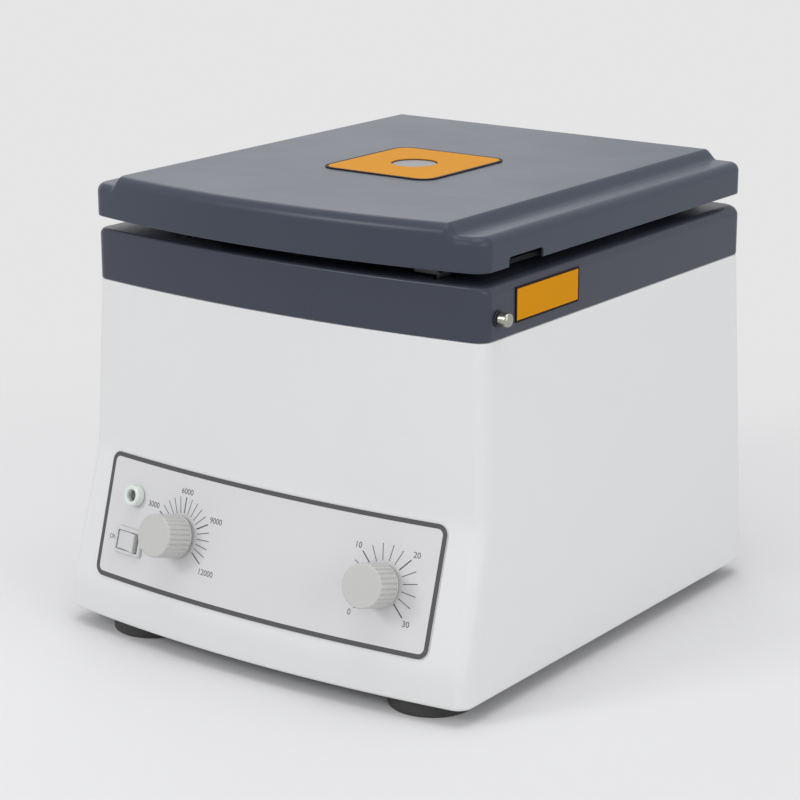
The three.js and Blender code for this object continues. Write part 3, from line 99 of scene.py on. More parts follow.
def filleted(corners: Sequence[Sequence[float]], reach: float | Sequence[float], steps: int = 4,
             closed: bool = True) -> Array:
    """A profile with rounded corners.

    Each corner becomes the quadratic curve that leaves one side `reach` before the corner and joins
    the next `reach` after it, with the corner as its handle.

    Args:
        corners: [radius, height] or [x, y] pairs.
        reach: one length for all corners, or one for each.
        steps: parts of each rounded corner.
        closed: whether the last corner joins the first.

    Returns:
        The points of the rounded profile, two numbers each.
    """
    points = np.asarray(corners, float)
    before = np.roll(points, 1, axis=0) - points
    after = np.roll(points, -1, axis=0) - points
    run_before = np.linalg.norm(before, axis=1, keepdims=True) + FLAT
    run_after = np.linalg.norm(after, axis=1, keepdims=True) + FLAT
    wanted = np.broadcast_to(np.asarray(reach, float), len(points)).copy()
    if not closed:
        wanted[[0, -1]] = 0
    drawn = np.minimum(wanted[:, None], 0.49 * np.minimum(run_before, run_after))
    start = (points + before / run_before * drawn)[:, None]
    end = (points + after / run_after * drawn)[:, None]
    t = np.linspace(0, 1, steps + 1)[None, :, None]
    curve = (1 - t) ** 2 * start + 2 * t * (1 - t) * points[:, None] + t**2 * end
    return curve.reshape(-1, 2)


def rounded_rectangle(half_width: float, half_height: float, radius: float, corner: int = 8,
                      side: int = 6) -> Array:
    """Points round a rectangle whose corners are quarter circles, anticlockwise.

    Args:
        half_width: half its size along the first axis.
        half_height: half its size along the second axis.
        radius: corner radius.
        corner: steps in each corner.
        side: steps along each side.

    Returns:
        Array of points, two numbers each.
    """
    drawn, risen = quarter(corner)
    turn = np.stack([1 - drawn, risen], axis=1) * max(radius, FLAT)
    core = np.array([half_width - radius, half_height - radius])
    first = core + turn
    second = np.stack([-first[::-1, 0], first[::-1, 1]], axis=1)
    corners = [first, second, -first, -second]
    t = np.linspace(0, 1, side, endpoint=False)[1:, None]
    pairs = zip(corners, corners[1:] + corners[:1])
    return np.concatenate([run for a, b in pairs for run in (a, a[-1] + (b[0] - a[-1]) * t)])


def level(outline: Array, height: float) -> Array:
    """Points of an outline at one height."""
    return np.column_stack([outline, np.full(len(outline), height)])


def put(points: Array, place: Place) -> Array:
    """Points turned and moved by a matrix."""
    matrix = np.array(place)
    return points @ matrix[:3, :3].T + matrix[:3, 3]


def turned(profile: Array, sides: int, centre: tuple[float, float] = (0, 0)) -> Array:
    """Grid of a turned surface: every profile point (r, h) goes round as (r cos a, r sin a, h).

    Args:
        profile: [radius, height] pairs.
        sides: columns round the axis.
        centre: x and y of the axis.

    Returns:
        Grid of points, rows along the profile and columns round the axis.
    """
    angle = np.linspace(0, 2 * math.pi, sides, endpoint=False)[None, :]
    radius, height = profile[:, :1], profile[:, 1:]
    x = centre[0] + radius * np.cos(angle)
    y = centre[1] + radius * np.sin(angle)
    return np.stack([x, y, np.broadcast_to(height, x.shape)], axis=-1)


def rim_of(grid: Array) -> Array:
    """The loop of points round the edge of a grid."""
    return np.concatenate([grid[:-1, 0], grid[-1, :-1], grid[:0:-1, -1], grid[0, :0:-1]])


class Skin:
    """Surface patches gathered into one welded mesh."""

    shift = 0.0  # from the case's own axes to the frame's, along y

    def __init__(self) -> None:
        """Starts with no patches."""
        self.points: list[Array] = []
        self.faces: list[list[int]] = []
        self.tints: list[int] = []
        self.size = 0

    def shape(self, points: Array, faces: list[list[int]], tint: int = 0) -> "Skin":
        """Adds points and the faces between them, with the number of their finish."""
        self.faces.extend([[self.size + corner for corner in face] for face in faces] if self.size else faces)
        self.points.append(points)
        self.tints.extend([tint] * len(faces))
        self.size += len(points)
        return self

    def patch(self, grid: Array, rows_meet: bool = False, columns_meet: bool = False,
              tint: int = 0) -> "Skin":
        """Adds a grid of points as quads.

        Args:
            grid: points in rows and columns.
            rows_meet: whether the last row joins the first.
            columns_meet: whether the last column joins the first.
            tint: number of the finish on these faces.

        Returns:
            This skin.
        """
        rows, columns = grid.shape[:2]
        row = np.arange(rows if rows_meet else rows - 1)[:, None]
        column = np.arange(columns if columns_meet else columns - 1)[None, :]
        low, high = row * columns, (row + 1) % rows * columns
        right = (column + 1) % columns
        quads = np.stack([low + column, low + right, high + right, high + column], axis=-1)
        return self.shape(grid.reshape(-1, 3), quads.reshape(-1, 4).tolist(), tint)

    def pair(self, upper: Array, lower: Array, *loops: Array) -> "Skin":
        """Adds two grids of one layout and the wall between their edges, through any loops given."""
        wall = np.stack([rim_of(upper), *loops, rim_of(lower)])
        return self.patch(upper).patch(lower).patch(wall, columns_meet=True)

    def ring(self, rows: Sequence[Array], tint: int = 0) -> "Skin":
        """Adds a closed section carried round: closed rows of points, the last joined to the first."""
        return self.patch(np.stack(rows), rows_meet=True, columns_meet=True, tint=tint)

    def piece(self, name: str, place: Place | None = None) -> Object:
        """Welds the patches into a mesh in the frame, with closed poles and faces that point outwards."""
        points = np.concatenate(self.points)
        if place is not None:
            points = put(points, place)
        mesh = bpy.data.meshes.new(name)
        mesh.from_pydata((points + [0, Skin.shift, 0]).tolist(), [], self.faces)
        mesh.polygons.foreach_set("material_index", self.tints)
        for _ in range(max(self.tints) + 1):
            mesh.materials.append(None)
        shape = bmesh.new()
        shape.from_mesh(mesh)
        bmesh.ops.remove_doubles(shape, verts=shape.verts, dist=WELD)
        bmesh.ops.recalc_face_normals(shape, faces=shape.faces)
        shape.to_mesh(mesh)
        shape.free()
        made = bpy.data.objects.new(name, mesh)
        bpy.context.scene.collection.objects.link(made)
        return made


class Cut(Enum):
    """What a tool does to the body it meets."""

    AWAY = "DIFFERENCE"
    TOGETHER = "UNION"


def settle(piece: Object) -> None:
    """Makes a piece's modifiers part of its mesh."""
    bpy.context.view_layer.update()
    shaped = piece.evaluated_get(bpy.context.evaluated_depsgraph_get())
    mesh, old = bpy.data.meshes.new_from_object(shaped), piece.data
    piece.modifiers.clear()
    piece.data = mesh
    bpy.data.meshes.remove(old)


def work(body: Object, tools: Sequence[Object], how: Cut = Cut.AWAY) -> Object:
    """Cuts tools out of a body, or joins them to it, and clears the tools away."""
    for tool in tools:
        change = body.modifiers.new("tool", "BOOLEAN")
        change.operation, change.solver, change.object = how.value, "MANIFOLD", tool
    settle(body)
    for tool in tools:
        bpy.data.objects.remove(tool)
    return body


def edge_turns(mesh: bpy.types.Mesh) -> tuple[Array, Array]:
    """Edges between two faces, and the cosine of the angle between those faces' normals."""
    edge = np.empty(len(mesh.loops), np.int32)
    mesh.loops.foreach_get("edge_index", edge)
    corners = np.empty(len(mesh.polygons), np.int32)
    mesh.polygons.foreach_get("loop_total", corners)
    normal = np.empty(3 * len(mesh.polygons), np.float32)
    mesh.polygons.foreach_get("normal", normal)
    face = np.repeat(np.arange(len(corners)), corners)
    order = np.argsort(edge, kind="stable")
    edge, face, normal = edge[order], face[order], normal.reshape(-1, 3)
    pair = np.flatnonzero(edge[:-1] == edge[1:])
    return edge[pair], (normal[face[pair]] * normal[face[pair + 1]]).sum(axis=1)


def soften(piece: Object, bevel: float, limit: float) -> None:
    """Bevels a piece's hard edges, and shades it smooth with each flat face kept flat.

    Args:
        piece: the piece, without modifiers.
        bevel: width of the bevel, or zero for none.
        limit: angle between faces, in degrees, past which an edge is hard.
    """
    if bevel:
        edge = piece.modifiers.new("bevel", "BEVEL")
        edge.width, edge.segments, edge.limit_method = bevel, 2, "ANGLE"
        edge.angle_limit, edge.use_clamp_overlap = math.radians(limit), True
        settle(piece)
    mesh = piece.data
    mesh.shade_smooth()
    edges, turn = edge_turns(mesh)
    sharp = np.zeros(len(mesh.edges), bool)
    sharp[edges[turn < math.cos(math.radians(limit))]] = True
    hard = mesh.attributes.get("sharp_edge") or mesh.attributes.new("sharp_edge", "BOOLEAN", "EDGE")
    hard.data.foreach_set("value", sharp)
    flats = piece.modifiers.new("flats", "WEIGHTED_NORMAL")
    flats.keep_sharp, flats.weight = True, 80
    settle(piece)


def lathe(name: str, profile: Array, sides: int, place: Place | None = None,
          centre: tuple[float, float] = (0, 0), closed: bool = False) -> Object:
    """A turned piece from a profile that starts and ends on the axis, or closes on itself."""
    skin = Skin().patch(turned(profile, sides, centre), rows_meet=closed, columns_meet=True)
    return skin.piece(name, place)


def rounded(name: str, corners: Sequence[Sequence[float]], reach: float | Sequence[float], steps: int,
            sides: int, place: Place | None = None, centre: tuple[float, float] = (0, 0),
            closed: bool = False) -> Object:
    """A turned piece whose profile has rounded corners.

    Args:
        name: name of the piece.
        corners: [radius, height] pairs in metres.
        reach: how far each rounding reaches, in millimetres, once for all or for each corner.
        steps: parts of each rounding.
        sides: columns round the axis.
        place: where it goes.
        centre: x and y of the axis.
        closed: whether the profile closes on itself, clear of the axis.

    Returns:
        The piece.
    """
    profile = filleted(corners, np.array(reach) * MM, steps, closed)
    return lathe(name, profile, sides, place, centre, closed)


def prism(name: str, outlines: Sequence[Array], place: Place | None = None) -> Object:
    """A solid through level outlines of equal length, whose two ends are closed about their middles."""
    foot, top = outlines[0].mean(axis=0), outlines[-1].mean(axis=0)
    count = len(outlines[0])
    rows = [np.tile(foot, (count, 1)), *outlines, np.tile(top, (count, 1))]
    return Skin().patch(np.stack(rows), columns_meet=True).piece(name, place)


def plate(name: str, half_width: float, half_height: float, radius: float, foot: float, top: float,
          place: Place | None = None, edge: float = 0.0) -> Object:
    """A flat plate with round corners, centred on its place.

    Args:
        name: name of the piece.
        half_width: half its size along X.
        half_height: half its size along Y.
        radius: corner radius, larger than the edge's.
        foot: height of its underside.
        top: height of its upper side.
        place: where it goes.
        edge: radius of its upper edge, if that is round.

    Returns:
        The plate.
    """
    drawn, risen = quarter(4 if edge else 1)
    outlines = [level(rounded_rectangle(half_width, half_height, radius), foot)]
    for inwards, upwards in zip(drawn * edge, (1 - risen) * edge) if edge else [(0.0, 0.0)]:
        outline = rounded_rectangle(half_width - inwards, half_height - inwards, radius - inwards)
        outlines.append(level(outline, top - upwards))
    return prism(name, outlines, place)


def bar(radius: float, foot: float, top: float, place: Place | None = None, sides: int = 48,
        centre: tuple[float, float] = (0, 0)) -> Object:
    """A round bar, also used as a drill."""
    profile = np.array([[0, foot], [radius, foot], [radius, top], [0, top]])
    return lathe("bar", profile, sides, place, centre)


def colour(*srgb: float) -> tuple[float, float, float, float]:
    """Scene colour of three sRGB values from 0 to 255."""
    share = np.array(srgb) / 255
    bent = ((share + SRGB_BEND) / (1 + SRGB_BEND)) ** SRGB_GAMMA
    linear = np.where(share <= PLAIN_LINEAR, share / SRGB_SLOPE, bent)
    return (*linear.tolist(), 1.0)


def add(tree: Tree, kind: str, inputs: dict[str | int, Value] | None = None,
        **settings: str | bool | Tree) -> bpy.types.Node:
    """Adds a shader node.

    Args:
        tree: the material's or group's tree.
        kind: the node's type, without its leading "ShaderNode".
        inputs: for each input by name or number, a constant or the socket to link to it.
        settings: the node's own options.

    Returns:
        The node.
    """
    node = tree.nodes.new(f"ShaderNode{kind}")
    for name, value in settings.items():
        setattr(node, name, value)
    for key, value in (inputs or {}).items():
        if isinstance(value, Socket):
            tree.links.new(value, node.inputs[key])
        else:
            node.inputs[key].default_value = value
    return node


def math_node(tree: Tree, operation: str, *values: Value) -> Socket:
    """Result of a Math node on two or three values."""
    return add(tree, "Math", dict(enumerate(values)), operation=operation).outputs[0]


def mix_colours(tree: Tree, share: Value, first: Value, second: Value) -> Socket:
    """Mixture of two colours, whose sockets on the Mix node are numbers 6 and 7."""
    return add(tree, "Mix", {0: share, 6: first, 7: second}, data_type="RGBA").outputs[2]


def object_spot(tree: Tree) -> Socket:
    """The point that is shaded, on the object's own axes."""
    return add(tree, "TexCoord").outputs["Object"]


def vector_node(tree: Tree, operation: str, *values: Value, output: str | int = 0) -> Socket:
    """Result of a Vector Math node on one or two values."""
    return add(tree, "VectorMath", dict(enumerate(values)), operation=operation).outputs[output]


def noise(tree: Tree, inputs: dict[str, Value], **settings: str) -> Socket:
    """Value of a noise."""
    return add(tree, "TexNoise", inputs, **settings).outputs["Fac"]


def ranged(tree: Tree, value: Value, limits: dict[str, float], **settings: str) -> Socket:
    """A value carried from one range to another."""
    return add(tree, "MapRange", {"Value": value, **limits}, **settings).outputs[0]


def effect_group(name: str, inputs: dict[str, Value],
                 outputs: Sequence[str] = ("Height", "Tone")) -> tuple[Tree, bpy.types.NodeOutputs]:
    """A new shader group with named inputs at their usual values, and named outputs.

    Args:
        name: name of the group.
        inputs: the usual value of each input.
        outputs: names of the outputs.

    Returns:
        The group, and the sockets by which its inputs arrive.
    """
    tree = bpy.data.node_groups.new(name, "ShaderNodeTree")
    for label, usual in inputs.items():
        kind = "NodeSocketFloat" if isinstance(usual, float) else "NodeSocketVector"
        tree.interface.new_socket(label, in_out="INPUT", socket_type=kind).default_value = usual
    for label in outputs:
        tree.interface.new_socket(label, in_out="OUTPUT", socket_type="NodeSocketFloat")
    tree.nodes.new("NodeGroupOutput")
    return tree, tree.nodes.new("NodeGroupInput").outputs


def tell(tree: Tree, **values: Socket) -> Tree:
    """Links values to a group's outputs of the same names."""
    for label, value in values.items():
        tree.links.new(value, tree.nodes["Group Output"].inputs[label])
    return tree


def moulded_effect() -> Tree:
    """Fine grain of moulded plastic or rubber, and slow unevenness of its tone."""
    tree, given = effect_group("moulded_grain", {"Scale": 900.0, "Unevenness": 14.0})
    spot = object_spot(tree)
    fine = noise(tree, {"Vector": spot, "Scale": given["Scale"], "Detail": 3.0})
    slow = noise(tree, {"Vector": spot, "Scale": given["Unevenness"], "Detail": 4.0, "Roughness": 0.6})
    return tell(tree, Height=fine, Tone=slow)


def spun_effect() -> Tree:
    """Rings left by turning: noise along the distance from an upright axis plus the height."""
    tree, given = effect_group("spun_rings", {"Centre": (0.0, 0.0, 0.0), "Scale": 2500.0})
    away = vector_node(tree, "SUBTRACT", object_spot(tree), given["Centre"])
    flat = vector_node(tree, "MULTIPLY", away, (1.0, 1.0, 0.0))
    radius = vector_node(tree, "LENGTH", flat, output="Value")
    along = math_node(tree, "ADD", radius, add(tree, "SeparateXYZ", {0: away}).outputs["Z"])
    broad = math_node(tree, "MULTIPLY", given["Scale"], 0.08)
    rings = noise(tree, {"W": along, "Scale": given["Scale"], "Detail": 2.0}, noise_dimensions="1D")
    bands = noise(tree, {"W": along, "Scale": broad, "Detail": 3.0}, noise_dimensions="1D")
    return tell(tree, Height=rings, Tone=bands)


def drawn_effect() -> Tree:
    """Straight brush lines: noise stretched along one axis."""
    tree, given = effect_group("drawn_lines", {"Stretch": (40.0, 1500.0, 1500.0)})
    spot = object_spot(tree)
    lines = vector_node(tree, "MULTIPLY", spot, given["Stretch"])
    fine = noise(tree, {"Vector": lines, "Scale": 1.0, "Detail": 3.0})
    slow = noise(tree, {"Vector": spot, "Scale": 60.0, "Detail": 4.0})
    return tell(tree, Height=fine, Tone=slow)


def wear_effect() -> Tree:
    """Mask of rubbed edges: where the surface turns outwards, broken up by noise."""
    tree, given = effect_group("edge_wear", {"Amount": 0.3, "Scale": 90.0}, ["Mask"])
    bend = add(tree, "NewGeometry").outputs["Pointiness"]
    edge = ranged(tree, bend, {"From Min": 0.52, "From Max": 0.62})
    patchy = noise(tree, {"Vector": object_spot(tree), "Scale": given["Scale"], "Detail": 5.0})
    rubbed = math_node(tree, "MULTIPLY", edge, patchy)
    return tell(tree, Mask=math_node(tree, "MULTIPLY", rubbed, given["Amount"]))


class Effect(Enum):
    """Pattern that a finish carries."""

    MOULDED = "moulded"
    SPUN = "spun"
    DRAWN = "drawn"


class Effects:
    """The shader groups, each built once."""

    def __init__(self) -> None:
        """Builds every group."""
        made = moulded_effect(), spun_effect(), drawn_effect()
        self.trees = dict(zip((Effect.MOULDED, Effect.SPUN, Effect.DRAWN), made))
        self.wear = wear_effect()


@dataclass(frozen=True)
class Finish:
    """One finish: a colour with its gloss, and the pattern that varies it."""

    name: str
    slot: str
    srgb: tuple[float, float, float]
    roughness: float
    metallic: float = 0.0
    effect: Effect = Effect.MOULDED
    options: tuple[tuple[str, Value], ...] = ()
    relief: float = 0.02 * MM  # height of the pattern
    mottle: float = 0.03  # how far the pattern shifts the tone
    gloss_shift: float = 0.08  # how far it shifts the roughness
    wear: float = 0.0
    specular: float = 0.5
    coat: float = 0.0
    clear: float = 0.0
    sheen: float = 0.0  # weight of the haze at flat angles

    def material(self, effects: Effects) -> bpy.types.Material:
        """The finish as a material, built once.

        Args:
            effects: the shader groups.

        Returns:
            The material of this name.
        """
        if self.name in bpy.data.materials:
            return bpy.data.materials[self.name]
        made = bpy.data.materials.new(self.name)
        made.use_nodes = True
        tree = made.node_tree
        body = tree.nodes["Principled BSDF"]
        pattern = add(tree, "Group", node_tree=effects.trees[self.effect])
        for label, value in self.options:
            pattern.inputs[label].default_value = value
        tone, height = pattern.outputs["Tone"], pattern.outputs["Height"]
        hue = mix_colours(tree, tone, self.tint(-self.mottle), self.tint(self.mottle))
        if self.wear:
            worn = add(tree, "Group", {"Amount": self.wear}, node_tree=effects.wear)
            hue = mix_colours(tree, worn.outputs["Mask"], hue, self.tint(1.0))
        gloss = ranged(tree, tone, {"To Min": self.roughness - self.gloss_shift,
                                    "To Max": self.roughness + self.gloss_shift})
        relief = add(tree, "Bump", {"Height": height, "Distance": self.relief, "Strength": 1.0})
        tree.links.new(hue, body.inputs["Base Color"])
        tree.links.new(gloss, body.inputs["Roughness"])
        tree.links.new(relief.outputs["Normal"], body.inputs["Normal"])
        constants = {
            "Metallic": self.metallic, "Specular IOR Level": self.specular, "Coat Weight": self.coat,
            "Transmission Weight": self.clear, "Sheen Weight": self.sheen,
            "Sheen Roughness": SHEEN_ROUGHNESS, "Sheen Tint": colour(*SHEEN_TINT),
        }
        for label, value in constants.items():
            body.inputs[label].default_value = value
        return made

    def tint(self, lift: float) -> tuple[float, float, float, float]:
        """The colour made lighter or darker by a share of itself, kept below white."""
        red, green, blue, alpha = colour(*self.srgb)
        return (*(min(part * (1 + lift), 0.95) for part in (red, green, blue)), alpha)


class Workshop:
    """Gives pieces their finish and body, and reports them."""

    def __init__(self) -> None:
        """Builds the shader groups."""
        self.effects = Effects()

    def dress(self, piece: Object, body: str, finish: Finish, *nodes: str,
              print_finish: Finish | None = None, bevel: float = 0.0, limit: float = 35.0) -> None:
        """Finishes a new piece.

        Args:
            piece: the piece, in place.
            body: the body that it rides on.
            finish: its finish.
            nodes: the CAD nodes that it stands for.
            print_finish: finish of the faces whose tint is 1.
            bevel: width of the bevel on its hard edges, or zero for none.
            limit: angle between faces, in degrees, past which an edge is hard.
        """
        soften(piece, bevel, limit)
        for i, look in enumerate([finish, print_finish] if print_finish else [finish]):
            if i == len(piece.data.materials):
                piece.data.materials.append(None)
            piece.data.materials[i] = look.material(self.effects)
        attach(piece, body)
        if nodes:
            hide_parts(*nodes)
        log.info("%s: %s on %s, %d faces", piece.name, finish.name, body, len(piece.data.polygons))

    def keep(self, finish: Finish, *nodes: str) -> None:
        """Gives a finish to CAD nodes that stay."""
        for node in nodes:
            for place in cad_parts[node].material_slots:
                place.material = finish.material(self.effects)
            log.info("%s: %s, kept", node, finish.name)


SHELL = Finish("pearl_shell", "case_plastic", (222, 223, 223), 0.46, mottle=0.012, relief=0.012 * MM)
COLLAR = Finish("slate_collar", "collar_plastic", (60, 64, 77), 0.3, mottle=0.03, wear=0.12, specular=0.28)
LID = Finish("slate_lid", "lid_plastic", (60, 66, 79), 0.32, mottle=0.025, wear=0.08, specular=0.24,
             sheen=0.08)
FILM = Finish("satin_film", "panel_film", (212, 212, 214), 0.3, mottle=0.008, relief=0.002 * MM)
INK = Finish("panel_ink", "panel_film", (74, 74, 77), 0.5, mottle=0.05, relief=0.002 * MM)
AMBER = Finish("amber_sheet", "amber_film", (208, 140, 12), 0.5, mottle=0.02, relief=0.004 * MM,
               specular=0.04)
AMBER_INK = Finish("amber_border", "amber_film", (34, 20, 16), 0.5, mottle=0.05, specular=0.1)
KNOB = Finish("knob_grey", "knob_plastic", (190, 191, 188), 0.42, mottle=0.015, relief=0.01 * MM)
SWITCH = Finish("switch_white", "switch_plastic", (206, 207, 207), 0.35, mottle=0.01)
BEZEL = Finish("lamp_bezel", "bezel_plastic", (216, 226, 218), 0.25, mottle=0.01, coat=0.3)
SMOKED = Finish("lamp_lens", "clear_plastic", (120, 132, 124), 0.12, clear=0.5)
WINDOW = Finish("window_frosted", "clear_plastic", (138, 139, 142), 0.35, mottle=0.02, gloss_shift=0.02,
                clear=0.25)
BLACK = Finish("black_moulding", "black_plastic", (30, 31, 33), 0.5, mottle=0.06, wear=0.1)
# Liner: partly its own black moulding, partly painted shade, made near-black so the lid's notch and the gap
# under the lid look shaded.
SHADED_LINER = Finish("liner_black_painted_shade", "black_plastic", (16, 16, 18), 0.55, mottle=0.06, relief=0.05 * MM,
               specular=0.1)
FOOT = Finish("grey_rubber", "foot_rubber", (58, 58, 58), 0.75, mottle=0.12, relief=0.05 * MM)
SEAL = Finish("black_rubber", "seal_rubber", (30, 30, 31), 0.7, mottle=0.1, relief=0.03 * MM)
ZINC = Finish("zinc_sheet", "zinc_steel", (186, 188, 190), 0.34, 1.0, Effect.DRAWN, mottle=0.08)
NICKEL = Finish("nickel_pin", "chrome", (170, 172, 160), 0.26, 1.0, mottle=0.03, gloss_shift=0.04)
# Steel darkened as painted shade: the tongue hangs in the shade inside the collar.
SHADED_STEEL = Finish("steel_painted_shade", "zinc_steel", (84, 86, 90), 0.42, 1.0, Effect.DRAWN, mottle=0.08)
CHROME = Finish("chrome_plate", "chrome", (214, 213, 208), 0.14, 1.0, mottle=0.03, gloss_shift=0.04)
ENAMEL = Finish("motor_enamel", "motor_paint", (52, 54, 57), 0.38, mottle=0.08, relief=0.04 * MM, wear=0.3)
COPPER = Finish("winding_copper", "winding", (168, 104, 62), 0.35, 1.0, Effect.DRAWN, mottle=0.15,
                relief=0.1 * MM)
BOARD = Finish("solder_mask", "board", (30, 92, 54), 0.4, mottle=0.15)


def spun(name: str, slot: str, srgb: tuple[float, float, float], roughness: float,
         centre_y: float) -> Finish:
    """A turned metal finish whose rings run round the rotor's axis."""
    options = (("Centre", (0.0, centre_y, 0.0)),)
    return Finish(name, slot, srgb, roughness, 1.0, Effect.SPUN, options, 0.008 * MM, 0.06, 0.06)


@dataclass(frozen=True)
class Plan:
    """Plan of a hollow form at each of its levels, as one number or an array of one per level."""

    half: float | Array
    front: float | Array
    rear: float | Array
    bow: float | Array
    bow_half: float | Array
    front_radius: float | Array
    rear_radius: float | Array
    front_steps: int = 72
    side_steps: int = 30
    corner_steps: int = 12

    def loft(self, height: Array) -> Array:
        """Grid of points round the plan at every level.

        The front runs y = -front - bow * (1 - (x / bow_half) ** 2). Each corner is a cubic that leaves
        one side and joins the next along them, with handles at ROUND of the way to their crossing.

        Args:
            height: height of each level.

        Returns:
            Rows of points, anticlockwise from the front's left end.
        """
        spread = np.broadcast_arrays(self.half, self.front, self.rear, self.bow, self.bow_half,
                                     self.front_radius, self.rear_radius, np.atleast_1d(height))
        half, front, rear, bow, bow_half, front_radius, rear_radius, z = (each[:, None] for each in spread)
        end = half - front_radius
        front_y = -front - bow * (1 - (end / bow_half) ** 2)
        crossing = front_y + 2 * bow * end / bow_half**2 * front_radius
        side_y, back = crossing + front_radius, rear - rear_radius
        t = np.linspace(0, 1, self.corner_steps, endpoint=False)
        ends = [(1 - t) ** 3 + 3 * (1 - t) ** 2 * t * (1 - ROUND), t**3 + 3 * (1 - t) * t**2 * (1 - ROUND)]
        handle = 1 - ends[0] - ends[1]
        run = np.linspace(0, 1, self.side_steps, endpoint=False)

        def bend(a: tuple, b: tuple, c: tuple) -> tuple[Array, Array]:
            """Corner from a to c about their crossing b."""
            return tuple(ends[0] * p + handle * q + ends[1] * r for p, q, r in zip(a, b, c))

        def line(a: tuple, b: tuple) -> tuple[Array, Array]:
            """Straight run from a to b."""
            return tuple(p + (q - p) * run for p, q in zip(a, b))

        x = end * np.linspace(-1, 1, self.front_steps, endpoint=False)
        stretches = [
            (x, -front - bow * (1 - (x / bow_half) ** 2)),
            bend((end, front_y), (half, crossing), (half, side_y)),
            line((half, side_y), (half, back)),
            bend((half, back), (half, rear), (half - rear_radius, rear)),
            line((half - rear_radius, rear), (rear_radius - half, rear)),
            bend((rear_radius - half, rear), (-half, rear), (-half, back)),
            line((-half, back), (-half, side_y)),
            bend((-half, side_y), (-half, crossing), (-end, front_y)),
        ]
        x, y = (np.concatenate([stretch[i] for stretch in stretches], axis=1) for i in (0, 1))
        return np.stack([x, y, np.broadcast_to(z, x.shape)], axis=-1)


def ramp(value: Array, soft: float) -> Array:
    """Zero below zero and the value above it, with a soft bend: (v + sqrt(v² + s²)) / 2."""
    return (value + np.sqrt(value**2 + soft**2)) / 2


def circled(row: Array, radius: float, height: float, centre_y: float) -> Array:
    """A row of points moved straight towards an upright axis until they lie on a circle round it."""
    away = row[:, :2] - [0, centre_y]
    around = away / np.linalg.norm(away, axis=1, keepdims=True) * radius + [0, centre_y]
    return level(around, height)


@dataclass(frozen=True)
class CaseShape:
    """Outer form of the case: its plan at the seam, walls that lean out downwards and a flared foot."""

    seam: float = 201.4 * MM
    half_width: float = 133 * MM
    half_depth: float = 136.6 * MM
    lean: float = 0.035
    floor: float = 9.5 * MM
    seam_bow: float = 10.5 * MM
    toe_bow: float = 11.2 * MM
    flare_top: float = 104 * MM
    flare_foot: float = 29.1 * MM
    flare_reach: float = 19.1 * MM
    front_radius: float = 7.4 * MM
    rear_radius: float = 8 * MM
    wall: float = 3.5 * MM
    knee: float = 4 * MM  # softness of the bends above and below the flare
    step: float = 0.1 * MM  # over which slopes are measured

    def plan(self, z: Array, inset: Array | float = 0.0) -> Plan:
        """Plan at heights z, drawn in by an inset."""
        fall = self.seam - z
        lean = self.lean * fall
        slope = self.flare_reach / (self.flare_top - self.flare_foot)
        flare = slope * (ramp(self.flare_top - z, self.knee) - ramp(self.flare_foot - z, self.knee))
        bow = self.seam_bow + (self.toe_bow - self.seam_bow) * fall / (self.seam - self.floor)
        return Plan(
            self.half_width + lean - inset,
            self.half_depth + lean + flare - inset,
            self.half_depth + lean - inset,
            bow,
            self.half_width + lean,
            self.front_radius - np.minimum(inset, self.front_radius) / 2,
            self.rear_radius - np.minimum(inset, self.rear_radius) / 2,
        )

    def front_y(self, x: Array, z: Array) -> Array:
        """Y of the front face at x and z."""
        plan = self.plan(z)
        return -plan.front - plan.bow * (1 - (x / plan.bow_half) ** 2)

    def normal(self, x: Array, z: Array) -> Array:
        """Outward direction of the front face, from its slopes across and up."""
        across = (self.front_y(x + self.step, z) - self.front_y(x - self.step, z)) / (2 * self.step)
        up = (self.front_y(x, z + self.step) - self.front_y(x, z - self.step)) / (2 * self.step)
        out = np.stack([across, -np.ones_like(across), up], axis=-1)
        return out / np.linalg.norm(out, axis=-1, keepdims=True)

    def on_front(self, spots: Array) -> Array:
        """Points given as x, z and lift, laid on the front face and lifted off it."""
        x, z, lift = (spots[..., i] for i in range(3))
        return np.stack([x, self.front_y(x, z), z], axis=-1) + lift[..., None] * self.normal(x, z)

    def front_spot(self, x: float, z: float) -> Place:
        """Place on the front face: Z points out of it, X across it and Y up it."""
        out = Vector(self.normal(np.float64(x), np.float64(z)))
        across = Vector((0, 0, 1)).cross(out).normalized()
        return spot_matrix(across, out.cross(across), out, (x, float(self.front_y(x, z)), z))

    def rear_spot(self, x: float, z: float) -> Place:
        """Place on the back wall: Z points out of it, X to the left seen from the front and Y up it."""
        out = Vector((0, 1, self.lean)).normalized()
        left = Vector((-1, 0, 0))
        return spot_matrix(left, out.cross(left), out, (x, float(self.plan(np.float64(z)).rear), z))


def spot_matrix(x_axis: Sequence[float], y_axis: Sequence[float], z_axis: Sequence[float],
                origin: Sequence[float]) -> Place:
    """Matrix from three axes and an origin."""
    made = Matrix((x_axis, y_axis, z_axis)).transposed().to_4x4()
    made.translation = origin
    return made


def side_spot(x: float, y: float, z: float) -> Place:
    """Place on a right-hand wall: Z points out along +X, X runs back along +Y and Y runs up."""
    return spot_matrix((0, 1, 0), (0, 0, 1), (1, 0, 0), (x, y, z))


def back_spot(x: float, y: float, z: float) -> Place:
    """Place on an upright back wall: Z points out along +Y, X runs along -X and Y runs up."""
    return spot_matrix((-1, 0, 0), (0, 0, 1), (0, 1, 0), (x, y, z))


def moved(x: float, y: float, z: float = 0.0) -> Place:
    """Place that is moved and not turned."""
    return Matrix.Translation((x, y, z))


def between(row: Array, end: Array, steps: int) -> list[Array]:
    """Rows in equal steps from one row to another, without the first."""
    return [row + (end - row) * share for share in np.linspace(0, 1, steps + 1)[1:]]


